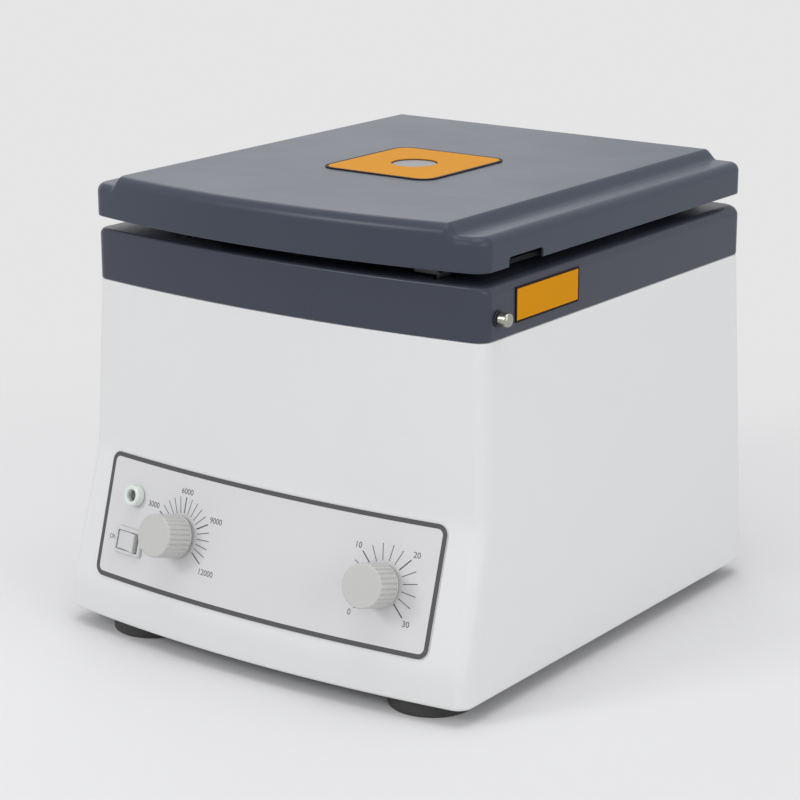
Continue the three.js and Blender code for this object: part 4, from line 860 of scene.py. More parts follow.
@dataclass
class Panel:
    """Printed film on the sloping front, its two dials and what stands on it."""

    shape: CaseShape
    half_width: float = 116.8 * MM
    foot: float = 34 * MM
    top: float = 103.6 * MM
    radius: float = 6 * MM
    gap: float = 0.3 * MM
    film_top: float = 0.7 * MM
    ink_top: float = 0.75 * MM
    ink_foot: float = 0.55 * MM
    frame_inset: float = 0.15 * MM
    frame_width: float = 2.6 * MM
    knob_z: float = 67.3 * MM
    speed_x: float = -55.9 * MM
    timer_x: float = 82.6 * MM
    dial_z: float = 68 * MM
    speed_dial_x: float = -54.2 * MM
    timer_dial_x: float = 83.6 * MM
    lamp_x: float = -92.4 * MM
    lamp_z: float = 82.2 * MM
    switch_z: float = 56.8 * MM
    knob_hole: float = 5 * MM
    lamp_hole: float = 4.7 * MM
    switch_hole: tuple[float, float] = (10.05 * MM, 6.8 * MM)
    tick_inner: float = 12.3 * MM
    tick_outer: float = 21 * MM
    tick_half: float = 0.2 * MM
    major_half: float = 0.33 * MM
    figure: float = 4.5 * MM
    small_figure: float = 3.6 * MM
    figure_gap: float = 1.5 * MM

    def drills(self) -> list[Object]:
        """Tools for all that passes through the panel."""
        spot = self.shape.front_spot
        knobs = [bar(self.knob_hole, *THROUGH, spot(x, self.knob_z)) for x in (self.speed_x, self.timer_x)]
        lamp = bar(self.lamp_hole, *THROUGH, spot(self.lamp_x, self.lamp_z))
        well = plate("well", *self.switch_hole, 0.4 * MM, *THROUGH, spot(self.lamp_x, self.switch_z))
        return [*knobs, lamp, well]

    def sheet(self, lift: float) -> Array:
        """Grid over the film: x lines whose ends follow the round corners, laid on the front."""
        drawn, _ = quarter(8)
        corner = self.half_width - self.radius * drawn[::-1]
        x = mirrored(np.concatenate([np.linspace(0, corner[0], 40, endpoint=False), corner]))[:, None]
        inside = np.clip(self.radius - (self.half_width - abs(x)), 0, None)
        cut = self.radius - np.sqrt(np.clip(self.radius**2 - inside**2, 0, None))
        share = np.linspace(0, 1, 25)[None, :]
        z = self.foot + cut + (self.top - self.foot - 2 * cut) * share
        spots = np.broadcast_arrays(x, z, lift)
        return self.shape.on_front(np.stack(spots, axis=-1))

    def frame_line(self) -> Array:
        """Section of the printed frame carried round its rounded rectangle."""
        middle = (self.foot + self.top) / 2
        rows = []
        for inset, lift in ((0, self.ink_foot), (0, self.ink_top), (1, self.ink_top), (1, self.ink_foot)):
            drawn = self.frame_inset + inset * self.frame_width
            outline = rounded_rectangle(self.half_width - drawn, (self.top - self.foot) / 2 - drawn,
                                        self.radius - drawn, side=48)
            rows.append(level(outline + [0, middle], lift))
        return self.shape.on_front(np.stack(rows))

    def tick(self, x: float, angle: float, half: float) -> Array:
        """A printed stroke from the dial's inner to its outer circle, closed at both ends."""
        run = np.linspace(self.tick_inner, self.tick_outer, 5)[:, None]
        along = np.array([math.cos(angle), math.sin(angle)])
        side = np.array([-along[1], along[0]]) * half
        middle = run * along
        section = [(side, self.ink_foot), (-side, self.ink_foot), (-side, self.ink_top), (side, self.ink_top)]
        corners = np.stack([level(middle + off, lift) for off, lift in section], axis=1)
        ends = corners.mean(axis=1, keepdims=True)
        grid = np.concatenate([np.repeat(ends[:1], 4, axis=1), corners, np.repeat(ends[-1:], 4, axis=1)])
        return self.shape.on_front(grid + [x, self.dial_z, 0])

    def words(self, skin: Skin, text: str, size: float, x: float, z: float,
              outward: float | None = None) -> None:
        """Adds small figures to the print.

        Args:
            skin: the print's skin.
            text: what they say.
            size: their type size.
            x: place of their middle across the panel, or of the tick's end.
            z: the same upwards.
            outward: angle along which they stand clear of that tick's end, if they do.
        """
        curve = bpy.data.curves.new("figures", "FONT")
        curve.body, curve.size, curve.extrude = text, size, (self.ink_top - self.ink_foot) / 2
        curve.resolution_u = 3
        thing = bpy.data.objects.new("figures", curve)
        bpy.context.scene.collection.objects.link(thing)
        bpy.context.view_layer.update()
        mesh = bpy.data.meshes.new_from_object(thing.evaluated_get(bpy.context.evaluated_depsgraph_get()))
        points = np.empty(3 * len(mesh.vertices), np.float32)
        mesh.vertices.foreach_get("co", points)
        points = points.reshape(-1, 3)
        faces = [list(face.vertices) for face in mesh.polygons]
        low, high = points.min(axis=0), points.max(axis=0)
        half = (high - low) / 2
        points = points - (low + high) / 2 + [x, z, (self.ink_top + self.ink_foot) / 2]
        if outward is not None:
            along = np.array([math.cos(outward), math.sin(outward)])
            points[:, :2] += along * (self.figure_gap + abs(along) @ half[:2])
        skin.shape(self.shape.on_front(points), faces)
        bpy.data.objects.remove(thing)
        bpy.data.meshes.remove(mesh)

    def dial(self, skin: Skin, x: float, start: float, sweep: float, steps: int, every: int,
             figures: Sequence[str]) -> None:
        """Adds a dial: strokes clockwise from an angle, and figures at each long one.

        Args:
            skin: the print's skin.
            x: the dial's middle across the panel.
            start: angle of the first stroke in degrees, anticlockwise from the right.
            sweep: degrees from the first to the last.
            steps: strokes after the first.
            every: strokes between two figures.
            figures: the figures, in order.
        """
        for i in range(steps + 1):
            angle = math.radians(start - sweep * i / steps)
            major = i % every == 0
            skin.patch(self.tick(x, angle, self.major_half if major else self.tick_half), columns_meet=True)
            if major:
                end = self.tick_outer * math.cos(angle), self.tick_outer * math.sin(angle)
                self.words(skin, figures[i // every], self.figure, x + end[0], self.dial_z + end[1], angle)

    def build(self, shop: Workshop) -> None:
        """Makes the film and its print."""
        film = Skin().pair(self.sheet(self.film_top), self.sheet(self.gap)).piece("panel_film")
        shop.dress(work(film, self.drills()), "case", FILM, "control_panel")
        ink = Skin().ring(self.frame_line())
        self.dial(ink, self.speed_dial_x, 215, 250, 20, 5, ("0", "3000", "6000", "9000", "12000"))
        self.dial(ink, self.timer_dial_x, 225, 270, 15, 5, ("0", "10", "20", "30"))
        self.words(ink, "ON", self.small_figure, self.lamp_x - 14.4 * MM, self.switch_z)
        shop.dress(ink.piece("panel_print"), "case", INK)


@dataclass
class Housing:
    """The white case and the dark collar on it."""

    shape: CaseShape
    panel: Panel
    latch: "Latch"
    back: "Back"
    toe_round: float = 2 * MM
    edge_round: float = 0.9 * MM
    ledge: float = 10 * MM
    collar_floor: float = 201.7 * MM
    collar_top: float = 230.9 * MM
    front_round: float = 1.8 * MM
    side_round: float = 6 * MM
    deck: float = 6 * MM
    axis_y: float = -12 * MM
    seat_radius: float = 112.3 * MM
    seat_depth: float = 2.6 * MM
    hole_radius: float = 106.8 * MM
    lip: float = 0.4 * MM
    knees: tuple[float, ...] = (18 * MM, 40 * MM, 92 * MM, 118 * MM)  # heights between denser rows
    cut_radius: float = 0.5 * MM
    inlet_hole: tuple[float, float] = (13.9 * MM, 10.1 * MM)
    fuse_hole: float = 7.3 * MM
    vent_spot: tuple[float, float] = (-50 * MM, 90 * MM)
    vent_half: tuple[float, float] = (2 * MM, 30 * MM)
    vent_radius: float = 1.96 * MM
    vent_places: tuple[int, ...] = (-25, -15, -5, 5, 15, 25)  # millimetres from the middle
    slot_half: tuple[float, float] = (3 * MM, 8.5 * MM)
    slot_spot: tuple[float, float] = (99 * MM, -126.2 * MM)
    slot_reach: tuple[float, float] = (218 * MM, 238 * MM)
    pin_hole: float = 3.7 * MM

    def walls(self) -> Array:
        """Closed section of the case carried round its plan: outside, over the ledge and down inside."""
        shape, wall = self.shape, self.shape.wall
        drawn, risen = quarter(5)
        toe, edge = shape.floor + self.toe_round, shape.seam - self.edge_round
        outside = graded([toe, *self.knees, edge], [3, 14, 10, 16, 12])
        inside = graded([shape.seam - wall, *self.knees[::-1], shape.floor], [4, 8, 3, 8, 1])
        inner = wall + self.ledge
        sections = [
            (shape.floor + self.toe_round * drawn, self.toe_round * (1 - risen)),
            (outside[1:-1], 0.0),
            (shape.seam - self.edge_round * (1 - risen), self.edge_round * drawn),
            (shape.seam, inner),
            (shape.seam - wall, inner),
            (inside, wall),
        ]
        rows = [np.broadcast_arrays(np.atleast_1d(z), inset) for z, inset in sections]
        z, inset = (np.concatenate([row[i] for row in rows]) for i in (0, 1))
        return shape.plan(z, inset).loft(z)

    def collar_rows(self) -> Array:
        """Closed section of the collar: its wall, the rounded top edge, the deck to the bowl's seat and back.

        The edge's radius goes from a small one along the front to a large one round the rest.
        """
        seam = np.full(3, self.shape.seam)
        insets = np.array([0, self.side_round, self.shape.wall])
        outer, inner, behind = self.shape.plan(seam, insets).loft(seam)
        count, front = len(outer), Plan.front_steps
        stops = [0, front, front + Plan.corner_steps, count - Plan.corner_steps, count]
        radii = [self.front_round, self.front_round, self.side_round, self.side_round, self.front_round]
        radius = np.interp(np.arange(count), stops, radii)[:, None]

        def edge(drawn: float, risen: float) -> Array:
            """A row of the rounded edge."""
            row = outer + (inner - outer) * radius * drawn / self.side_round
            row[:, 2:] = self.collar_top - radius * (1 - risen)
            return row

        def flat(row: Array, height: float) -> Array:
            """A row at one height."""
            return level(row[:, :2], height)

        top, floor, under = self.collar_top, self.collar_floor, self.collar_top - self.deck
        last = edge(1, 1)
        seat = circled(last, self.seat_radius + self.lip, top, self.axis_y)
        rows = [
            flat(outer + (inner - outer) * self.lip / self.side_round, floor),
            flat(outer, floor + self.lip),
            *(edge(*pair) for pair in zip(*quarter(7))),
            *between(last, seat, 6),
            circled(last, self.seat_radius, top - self.lip, self.axis_y),
            circled(last, self.seat_radius, top - self.seat_depth, self.axis_y),
            circled(last, self.hole_radius, top - self.seat_depth, self.axis_y),
            circled(last, self.hole_radius, under, self.axis_y),
            flat(behind, under),
            flat(behind, floor),
        ]
        return np.stack(rows)

    def build(self, shop: Workshop) -> None:
        """Makes the case with all its cut-outs, and the collar with its slot and pin hole."""
        shape, back, soft = self.shape, self.back, self.cut_radius
        inlet_spot, fuse_spot = (shape.rear_spot(x, back.outlet_z) for x in (back.inlet_x, back.fuse_x))
        inlet = plate("inlet", *self.inlet_hole, soft, *THROUGH, inlet_spot)
        fuse = bar(self.fuse_hole, *THROUGH, fuse_spot)
        middle = shape.rear_spot(*self.vent_spot)
        vents = [
            plate("vent", *self.vent_half, self.vent_radius, *THROUGH, middle @ moved(across * MM, 0))
            for across in self.vent_places
        ]
        case = Skin().ring(self.walls()).piece("case_shell")
        holes = [*self.panel.drills(), inlet, fuse, *vents]
        shop.dress(work(case, holes), "case", SHELL, "main_housing")
        slot = plate("slot", *self.slot_half, soft, *self.slot_reach, moved(*self.slot_spot))
        pin = bar(self.pin_hole, *THROUGH, side_spot(shape.half_width, self.latch.y, self.latch.z))
        collar = Skin().ring(self.collar_rows()).piece("collar_shell")
        shop.dress(work(collar, [slot, pin]), "case", COLLAR, "upper_collar")


def shoulder(radius: float, height: float, soft: float, steps: int = 4) -> list[list[float]]:
    """Profile points of a quarter round that starts below a height, or above it if soft is negative."""
    return [[radius - abs(soft) * a, height - soft * (1 - b)] for a, b in zip(*quarter(steps))]


def fluted(profile: Array, share: Array, flutes: int, depth: float, per_flute: int = 12) -> Array:
    """Turned grid with grooves: the radius falls by share * depth * |cos(flutes * a / 2)| ** 10.

    Args:
        profile: [radius, height] pairs.
        share: how much of the groove each pair gets.
        flutes: grooves round the axis.
        depth: their depth.
        per_flute: columns for each.

    Returns:
        Grid of points.
    """
    sides = flutes * per_flute
    grid = turned(profile, sides)
    angle = np.linspace(0, 2 * math.pi, sides, endpoint=False)
    drop = depth * share[:, None] * abs(np.cos(flutes * angle / 2)) ** 10
    grid[..., :2] *= (1 - drop / np.maximum(profile[:, :1], MM))[..., None]
    return grid


@dataclass
class Controls:
    """Knobs, lamp and power switch, each on its spot of the panel."""

    panel: Panel
    foot: float = 3 * MM
    knob_radius: float = 12.2 * MM
    rim_radius: float = 12.4 * MM
    rim_height: float = 1.2 * MM
    rim_round: float = 0.35 * MM
    knob_length: float = 17.9 * MM
    flutes: int = 26
    flute_depth: float = 0.6 * MM
    bevel: float = 1 * MM
    hollow_radius: float = 8.6 * MM
    hollow_depth: float = 4.6 * MM
    bore: float = 3.3 * MM
    bore_depth: float = 11.3 * MM
    seat: float = 1 * MM
    lamp_radius: float = 6 * MM
    lamp_length: float = 6 * MM
    lamp_round: float = 1.8 * MM
    lamp_bore: float = 3.3 * MM
    lens_play: float = 0.3 * MM
    lens_foot: float = -8 * MM
    lens_drop: float = 2.6 * MM
    barrel_radius: float = 4.4 * MM
    barrel_length: float = 16 * MM
    lamp_nut: float = 6.5 * MM
    lamp_nut_height: float = 3 * MM
    behind: float = -3.8 * MM
    switch_half: tuple[float, float] = (10.5 * MM, 7.5 * MM)
    switch_rim: float = 1.8 * MM
    switch_radius: float = 1.6 * MM
    switch_edge: float = 0.8 * MM
    well_half: tuple[float, float] = (8.85 * MM, 5.6 * MM)
    body_wall: float = 0.9 * MM
    body_depth: float = 16 * MM
    rocker_half_width: float = 7.9 * MM
    rocker_half_height: float = 5.2 * MM
    rocker_top: float = 2.2 * MM
    rocker_wing: float = 1.55 * MM
    rocker_foot: float = 3.6 * MM
    rocker_foot_half: float = 6.4 * MM
    rest_turn: float = math.radians(-11)

    def knob(self, shop: Workshop, name: str, x: float) -> None:
        """Makes a knob: a rim, a fluted grip whose grooves run out below the bevel, and a hollow back."""
        foot, rim_top, top = self.foot, self.foot + self.rim_height, self.foot + self.knob_length
        rim = shoulder(self.rim_radius, foot, -self.rim_round)[::-1]
        lip = shoulder(self.rim_radius, rim_top, self.rim_round)
        grip = [[self.knob_radius, z] for z in np.linspace(rim_top, top - 2.2 * self.bevel, 4)]
        bore, hollow = foot + self.bore_depth, foot + self.hollow_depth
        back = [[0, bore], [self.bore, bore], [self.bore, hollow], [self.hollow_radius, hollow],
                [self.hollow_radius, foot]]
        face = [[self.knob_radius / 2, top], [0, top]]
        profile = np.array([*back, *rim, *lip, *grip, *shoulder(self.knob_radius, top, self.bevel), *face])
        plain = np.zeros(len(back) + len(rim) + len(lip))
        share = np.concatenate([plain, np.ones(4), [0.85, 0.55, 0.25, 0.08, 0], np.zeros(2)])
        made = Skin().patch(fluted(profile, share, self.flutes, self.flute_depth), columns_meet=True)
        piece = made.piece(f"{name}_grip", self.panel.shape.front_spot(x, self.panel.knob_z))
        shop.dress(piece, name, KNOB, name, limit=40)

    def lamp(self, shop: Workshop) -> None:
        """Makes the lamp's bezel and the lens in it."""
        rim, top, edge = self.seat, self.lamp_length, self.lamp_round
        spot = self.panel.shape.front_spot(self.panel.lamp_x, self.panel.lamp_z)
        corners = [
            [self.lamp_bore, -self.barrel_length], [self.barrel_radius, -self.barrel_length],
            [self.barrel_radius, self.behind - self.lamp_nut_height],
            [self.lamp_nut, self.behind - self.lamp_nut_height], [self.lamp_nut, self.behind],
            [self.barrel_radius, self.behind], [self.barrel_radius, rim], [self.lamp_radius, rim],
            [self.lamp_radius, top], [self.lamp_bore + self.lens_play, top], [self.lamp_bore, top - edge],
        ]
        reach = [0.2] * 7 + [0.4, edge / MM, 0.7, 0.5]
        bezel = rounded("lamp_bezel", corners, reach, 6, 64, spot, closed=True)
        shop.dress(bezel, "case", BEZEL, "indicator_bezel")
        radius, foot, tip = self.lamp_bore - self.lens_play, self.lens_foot, top - self.lens_drop
        dome = [[0, foot], [radius, foot], [radius, tip - radius * 0.2], [0, tip]]
        lens = rounded("lamp_lens", dome, [0, 0.3, 1.6, 0], 8, 48, spot)
        shop.dress(lens, "case", SMOKED, "indicator_lens")

    def switch(self, shop: Workshop) -> None:
        """Makes the switch's frame with its well, and the rocker in it."""
        spot = self.panel.shape.front_spot(self.panel.lamp_x, self.panel.switch_z)
        top = self.seat + self.switch_rim
        rim = plate("switch_frame", *self.switch_half, self.switch_radius, self.seat, top, spot,
                    edge=self.switch_edge)
        half_width, half_height = self.well_half
        body = plate("body", half_width + self.body_wall, half_height + self.body_wall, 0.4 * MM,
                     -self.body_depth, top - 0.5 * self.switch_rim, spot)
        half, foot = self.rocker_half_width, -self.rocker_foot
        well = plate("well", half_width, half_height, 0.5 * MM, foot - half / 2, top + self.switch_rim, spot)
        frame_piece = work(work(rim, [body], Cut.TOGETHER), [well])
        shop.dress(frame_piece, "case", SWITCH, "switch_bezel", bevel=0.12 * MM)
        wing = self.rocker_top + self.rocker_wing
        corners = [[-self.rocker_foot_half, foot], [self.rocker_foot_half, foot], [half, wing],
                   [0, self.rocker_top], [-half, wing]]
        side = filleted(corners, np.array([0.5, 0.5, 0.5, 5.5, 0.5]) * MM, 8)
        high = self.rocker_half_height
        outlines = [level(side, z) for z in np.linspace(-high, high, 5)]
        turn = Matrix.Rotation(self.rest_turn, 4, "Y") @ Matrix.Rotation(QUARTER, 4, "X")
        rocker = prism("rocker", outlines, spot @ turn)
        shop.dress(rocker, "power_rocker", SWITCH, "power_rocker", bevel=0.25 * MM)

    def build(self, shop: Workshop) -> None:
        """Makes all of the controls, and finishes what they drive behind the panel."""
        self.knob(shop, "speed_knob", self.panel.speed_x)
        self.knob(shop, "timer_knob", self.panel.timer_x)
        self.lamp(shop)
        self.switch(shop)
        shop.keep(ZINC, "speed_spindle", "timer_spindle", "timer_mechanism")
        shop.keep(BLACK, "speed_potentiometer")
        shop.keep(BOARD, "control_board")


def distance_to(outline: Array, points: Array) -> Array:
    """Distance in plan from each point to the nearest side of a closed outline."""
    start = outline[None, :, :2]
    side = np.roll(outline, -1, axis=0)[None, :, :2] - start
    away = points.reshape(-1, 1, points.shape[-1])[..., :2] - start
    along = np.clip((away * side).sum(axis=-1) / (side**2).sum(axis=-1), 0, 1)
    gap = np.linalg.norm(away - side * along[..., None], axis=-1)
    return gap.min(axis=1).reshape(points.shape[:-1])


@dataclass
class Lid:
    """Lid with its raised field, the tray inside it, the window and the amber plate round that."""

    floor: float = 237.9 * MM
    half_width: float = 133.2 * MM
    front: float = 137.8 * MM
    rear: float = 134.7 * MM
    bow: float = 15.3 * MM
    front_radius: float = 8 * MM
    rear_radius: float = 7 * MM
    wall: float = 3.5 * MM
    flange_top: float = 256.6 * MM
    flange_round: float = 5 * MM
    field_half: float = 110.3 * MM
    field_side: float = 7.5 * MM
    field_rise: float = 5.9 * MM
    field_round: float = 6.5 * MM
    field_reach: tuple[float, float] = (12 * MM, 26 * MM)  # from both ends, where rows grow coarser
    edge: float = 0.7 * MM
    skirt: float = 12 * MM
    skirt_inner: float = 6 * MM
    axis_y: float = -12 * MM
    view_radius: float = 13.3 * MM
    view_top: float = 280 * MM  # of the drill, clear of the lid
    notch_front: float = -115.1 * MM
    notch_rear: float = -82.8 * MM
    notch_height: float = 5.4 * MM
    notch_radius: float = 2 * MM
    notch_relief: float = 3 * MM  # behind the notch the wall is cut back this far, down to its edge
    notch_edge: float = 1.1 * MM
    tray_floor: float = 234.6 * MM
    tray_set: tuple[float, float, float] = (12.4 * MM, 14 * MM, 20 * MM)
    tray_radius: float = 16 * MM
    tray_round: float = 1.2 * MM
    tray_plate: float = 2.5 * MM
    tray_gap: float = 0.3 * MM
    well_radius: float = 14 * MM
    well_wall: float = 3 * MM
    window_radius: float = 16.5 * MM
    window_foot: float = 255.7 * MM
    window_top: float = 258.7 * MM
    pane_radius: float = 12.9 * MM  # of the pane's raised middle, in the lid's hole
    pane_top: float = 262.5 * MM
    label_half: tuple[float, float] = (38 * MM, 41 * MM)
    label_radius: float = 10 * MM
    label_foot: float = 262.8 * MM
    label_top: float = 263.2 * MM
    label_border: float = 2 * MM

    def plan(self, inset: float, side: float = 0.0, front: float = 0.0, rear: float = 0.0,
             radius: float | None = None) -> Plan:
        """Plan of the lid drawn in all round, and further at its sides, front and rear."""
        return Plan(
            self.half_width - inset - side,
            self.front - inset - front,
            self.rear - inset - rear,
            self.bow,
            self.half_width,
            radius or self.front_radius - inset,
            radius or self.rear_radius - inset,
        )

    def field(self, x: Array) -> Array:
        """Share of the field's rise: zero on the flange, one on the field, with a soft bend at both ends."""
        share = np.clip((self.field_half + self.field_side - abs(x)) / self.field_side, 0, 1) ** 1.15
        return share * share * (3 - 2 * share)

    def skin(self, inset: float) -> Array:
        """Grid of the lid's upper surface, or of its lower one when drawn in by the wall.

        Each x line runs from the plan's front to its rear. A point's height is that of the flange or the
        field there, less the fall of a round edge of radius r: r - sqrt(r² - (r - d)²), where d is the
        distance to the plan's outline.
        """
        plan = self.plan(inset)
        outline = plan.loft(np.zeros(1))[0]
        corners, front, side = plan.corner_steps, plan.front_steps, plan.side_steps
        rolled = np.roll(outline, corners, axis=0)
        ahead, behind = rolled[: 2 * corners + front + 1], rolled[2 * corners + front + side :]
        behind = behind[: 2 * corners + side + 1][::-1]
        drawn, _ = quarter(10)
        flank = self.half_width - self.field_half
        breaks = [self.flange_round, self.front_radius, flank - self.field_side, flank, self.half_width]
        from_side = np.concatenate([drawn[:-1] * self.flange_round, graded(breaks, [7, 2, 18, 40])])
        x = mirrored((self.half_width - from_side)[::-1]) * (plan.half / self.half_width)
        near = np.interp(x, ahead[:, 0], ahead[:, 1])[:, None]
        far = np.interp(x, behind[:, 0], behind[:, 1])[:, None]
        middle = (near + far) / 2
        level_run = graded([self.field_round, *self.field_reach], [6, 6])
        run = np.concatenate([drawn[:-1] * self.field_round, level_run])
        ends = np.minimum(run[None, :], (middle - near) * run[None, :] / run[-1])
        share = np.linspace(0, 1, 13)[None, 1:]
        first, last = near + ends, far - ends
        across = first[:, -1:] + (last[:, -1:] - first[:, -1:]) * share
        y = np.concatenate([first, across, last[:, -2::-1]], axis=1)
        spread = np.stack([np.broadcast_to(x[:, None], y.shape), y], axis=-1)
        rise = self.field(spread[..., 0])
        radius = self.flange_round + (self.field_round - self.flange_round) * rise - inset
        short = radius - np.minimum(distance_to(outline, spread), radius)
        z = self.flange_top - inset + self.field_rise * rise - radius + np.sqrt(radius**2 - short**2)
        return np.concatenate([spread, z[..., None]], axis=-1)

    def shell(self, shop: Workshop) -> None:
        """Makes the lid's moulding, with the hole over the window and the notch at its right."""
        upper, lower = self.skin(0), self.skin(self.wall)
        outer, inner = rim_of(upper), rim_of(lower)

        def loop(inset: float, height: float) -> Array:
            """Loop of the skirt between its faces."""
            return level((outer + (inner - outer) * inset / self.wall)[:, :2], height)

        drawn, risen = quarter(4)
        edge, floor = self.edge, self.floor
        steps = [loop(0, floor + share * self.skirt) for share in (1.0, 0.6, 0.3)]
        steps += [loop(edge * a, floor + edge * (1 - b)) for a, b in zip(drawn, risen)]
        steps += [loop(self.wall, floor), loop(self.wall, floor + self.skirt_inner)]
        lid = Skin().pair(upper, lower, *steps).piece("lid_moulding")
        view = bar(self.view_radius, floor, self.view_top, None, 96, (0, self.axis_y))
        half, behind = (self.notch_rear - self.notch_front) / 2, -2 * self.wall
        spot = side_spot(self.half_width, self.notch_front + half, floor)
        notch = plate("notch", half, self.notch_height, self.notch_radius, behind, 6 * MM, spot)
        relief = plate("relief", half + self.notch_relief, self.notch_height + self.notch_relief,
                       self.notch_radius, behind, -self.notch_edge, spot)
        shop.dress(work(lid, [view, notch, relief]), "lid", LID, "lid_shell")

    def tray(self, shop: Workshop) -> None:
        """Makes the inner lid as one closed section: a flange, a tray that meets the seal, a light well."""
        flange_foot = self.floor + self.tray_gap
        flange_top = flange_foot + self.tray_plate
        outer = self.plan(self.wall + self.tray_gap)

        def sunk(inset: float) -> Plan:
            """Plan of the tray, drawn in."""
            sides, front, rear = self.tray_set
            return self.plan(0, sides + inset, front + inset, rear + inset, self.tray_radius)

        def row(plan: Plan, height: float) -> Array:
            """One row of the section."""
            return plan.loft(np.array([height]))[0]

        soft, base, deck = self.tray_round, self.tray_floor, self.tray_floor + self.tray_plate
        under = row(sunk(soft), base)
        round_hole = circled(under, self.well_radius, base, self.axis_y)
        drawn, risen = quarter(4)
        rows = [row(outer, flange_top), row(outer, flange_foot), row(sunk(-soft), flange_foot)]
        rows += [row(sunk(-soft * (1 - b)), flange_foot - soft * a) for a, b in zip(drawn[1:], risen[1:])]
        rows += [row(sunk(soft * a), base + soft * (1 - b)) for a, b in zip(drawn, risen)]
        roof = self.window_foot - self.tray_gap
        well = circled(under, self.well_radius + self.well_wall, roof, self.axis_y)
        rows += between(under, round_hole, 8)
        rows += [level(round_hole[:, :2], roof), well, level(well[:, :2], deck)]
        rows += [row(sunk(self.tray_plate), height) for height in (deck, flange_top)]
        # The tray's near-black colour is partly painted shade for the gap under the lid and the notch.
        shop.dress(Skin().ring(rows).piece("inner_lid"), "lid", SHADED_LINER, "lid_liner")

    def window(self, shop: Workshop) -> None:
        """Makes the window: a disc under the lid, whose raised middle fills the hole."""
        foot, ledge, top = self.window_foot, self.window_top, self.pane_top
        corners = [[0, foot], [self.window_radius, foot], [self.window_radius, ledge],
                   [self.pane_radius, ledge], [self.pane_radius, top], [0, top]]
        disc = rounded("window_pane", corners, 0.3, 3, 96, centre=(0, self.axis_y))
        shop.dress(disc, "lid", WINDOW, "lid_window")

    def label(self, shop: Workshop) -> None:
        """Makes the amber plate round the window, with its printed border."""
        half_width, half_depth = self.label_half

        def outline(inset: float, height: float) -> Array:
            """Rounded rectangle drawn in."""
            flat = rounded_rectangle(half_width - inset, half_depth - inset, self.label_radius - inset,
                                     side=12)
            return level(flat + [0, self.axis_y], height)

        foot, top = self.label_foot, self.label_top
        border = outline(self.label_border, top)
        hole = circled(border, self.view_radius, top, self.axis_y)
        rows = [outline(0, foot), outline(0, top - FILM_EDGE), outline(FILM_EDGE, top), border]
        face = [border, *between(border, hole, 4)]
        back = [hole, level(hole[:, :2], foot), outline(0, foot)]
        skin = Skin().patch(np.stack(rows), columns_meet=True, tint=1)
        skin.patch(np.stack(face), columns_meet=True).patch(np.stack(back), columns_meet=True)
        shop.dress(skin.piece("lid_plate"), "lid", AMBER, "lid_label", print_finish=AMBER_INK)

    def build(self, shop: Workshop) -> None:
        """Makes the lid."""
        self.shell(shop)
        self.tray(shop)
        self.window(shop)
        self.label(shop)


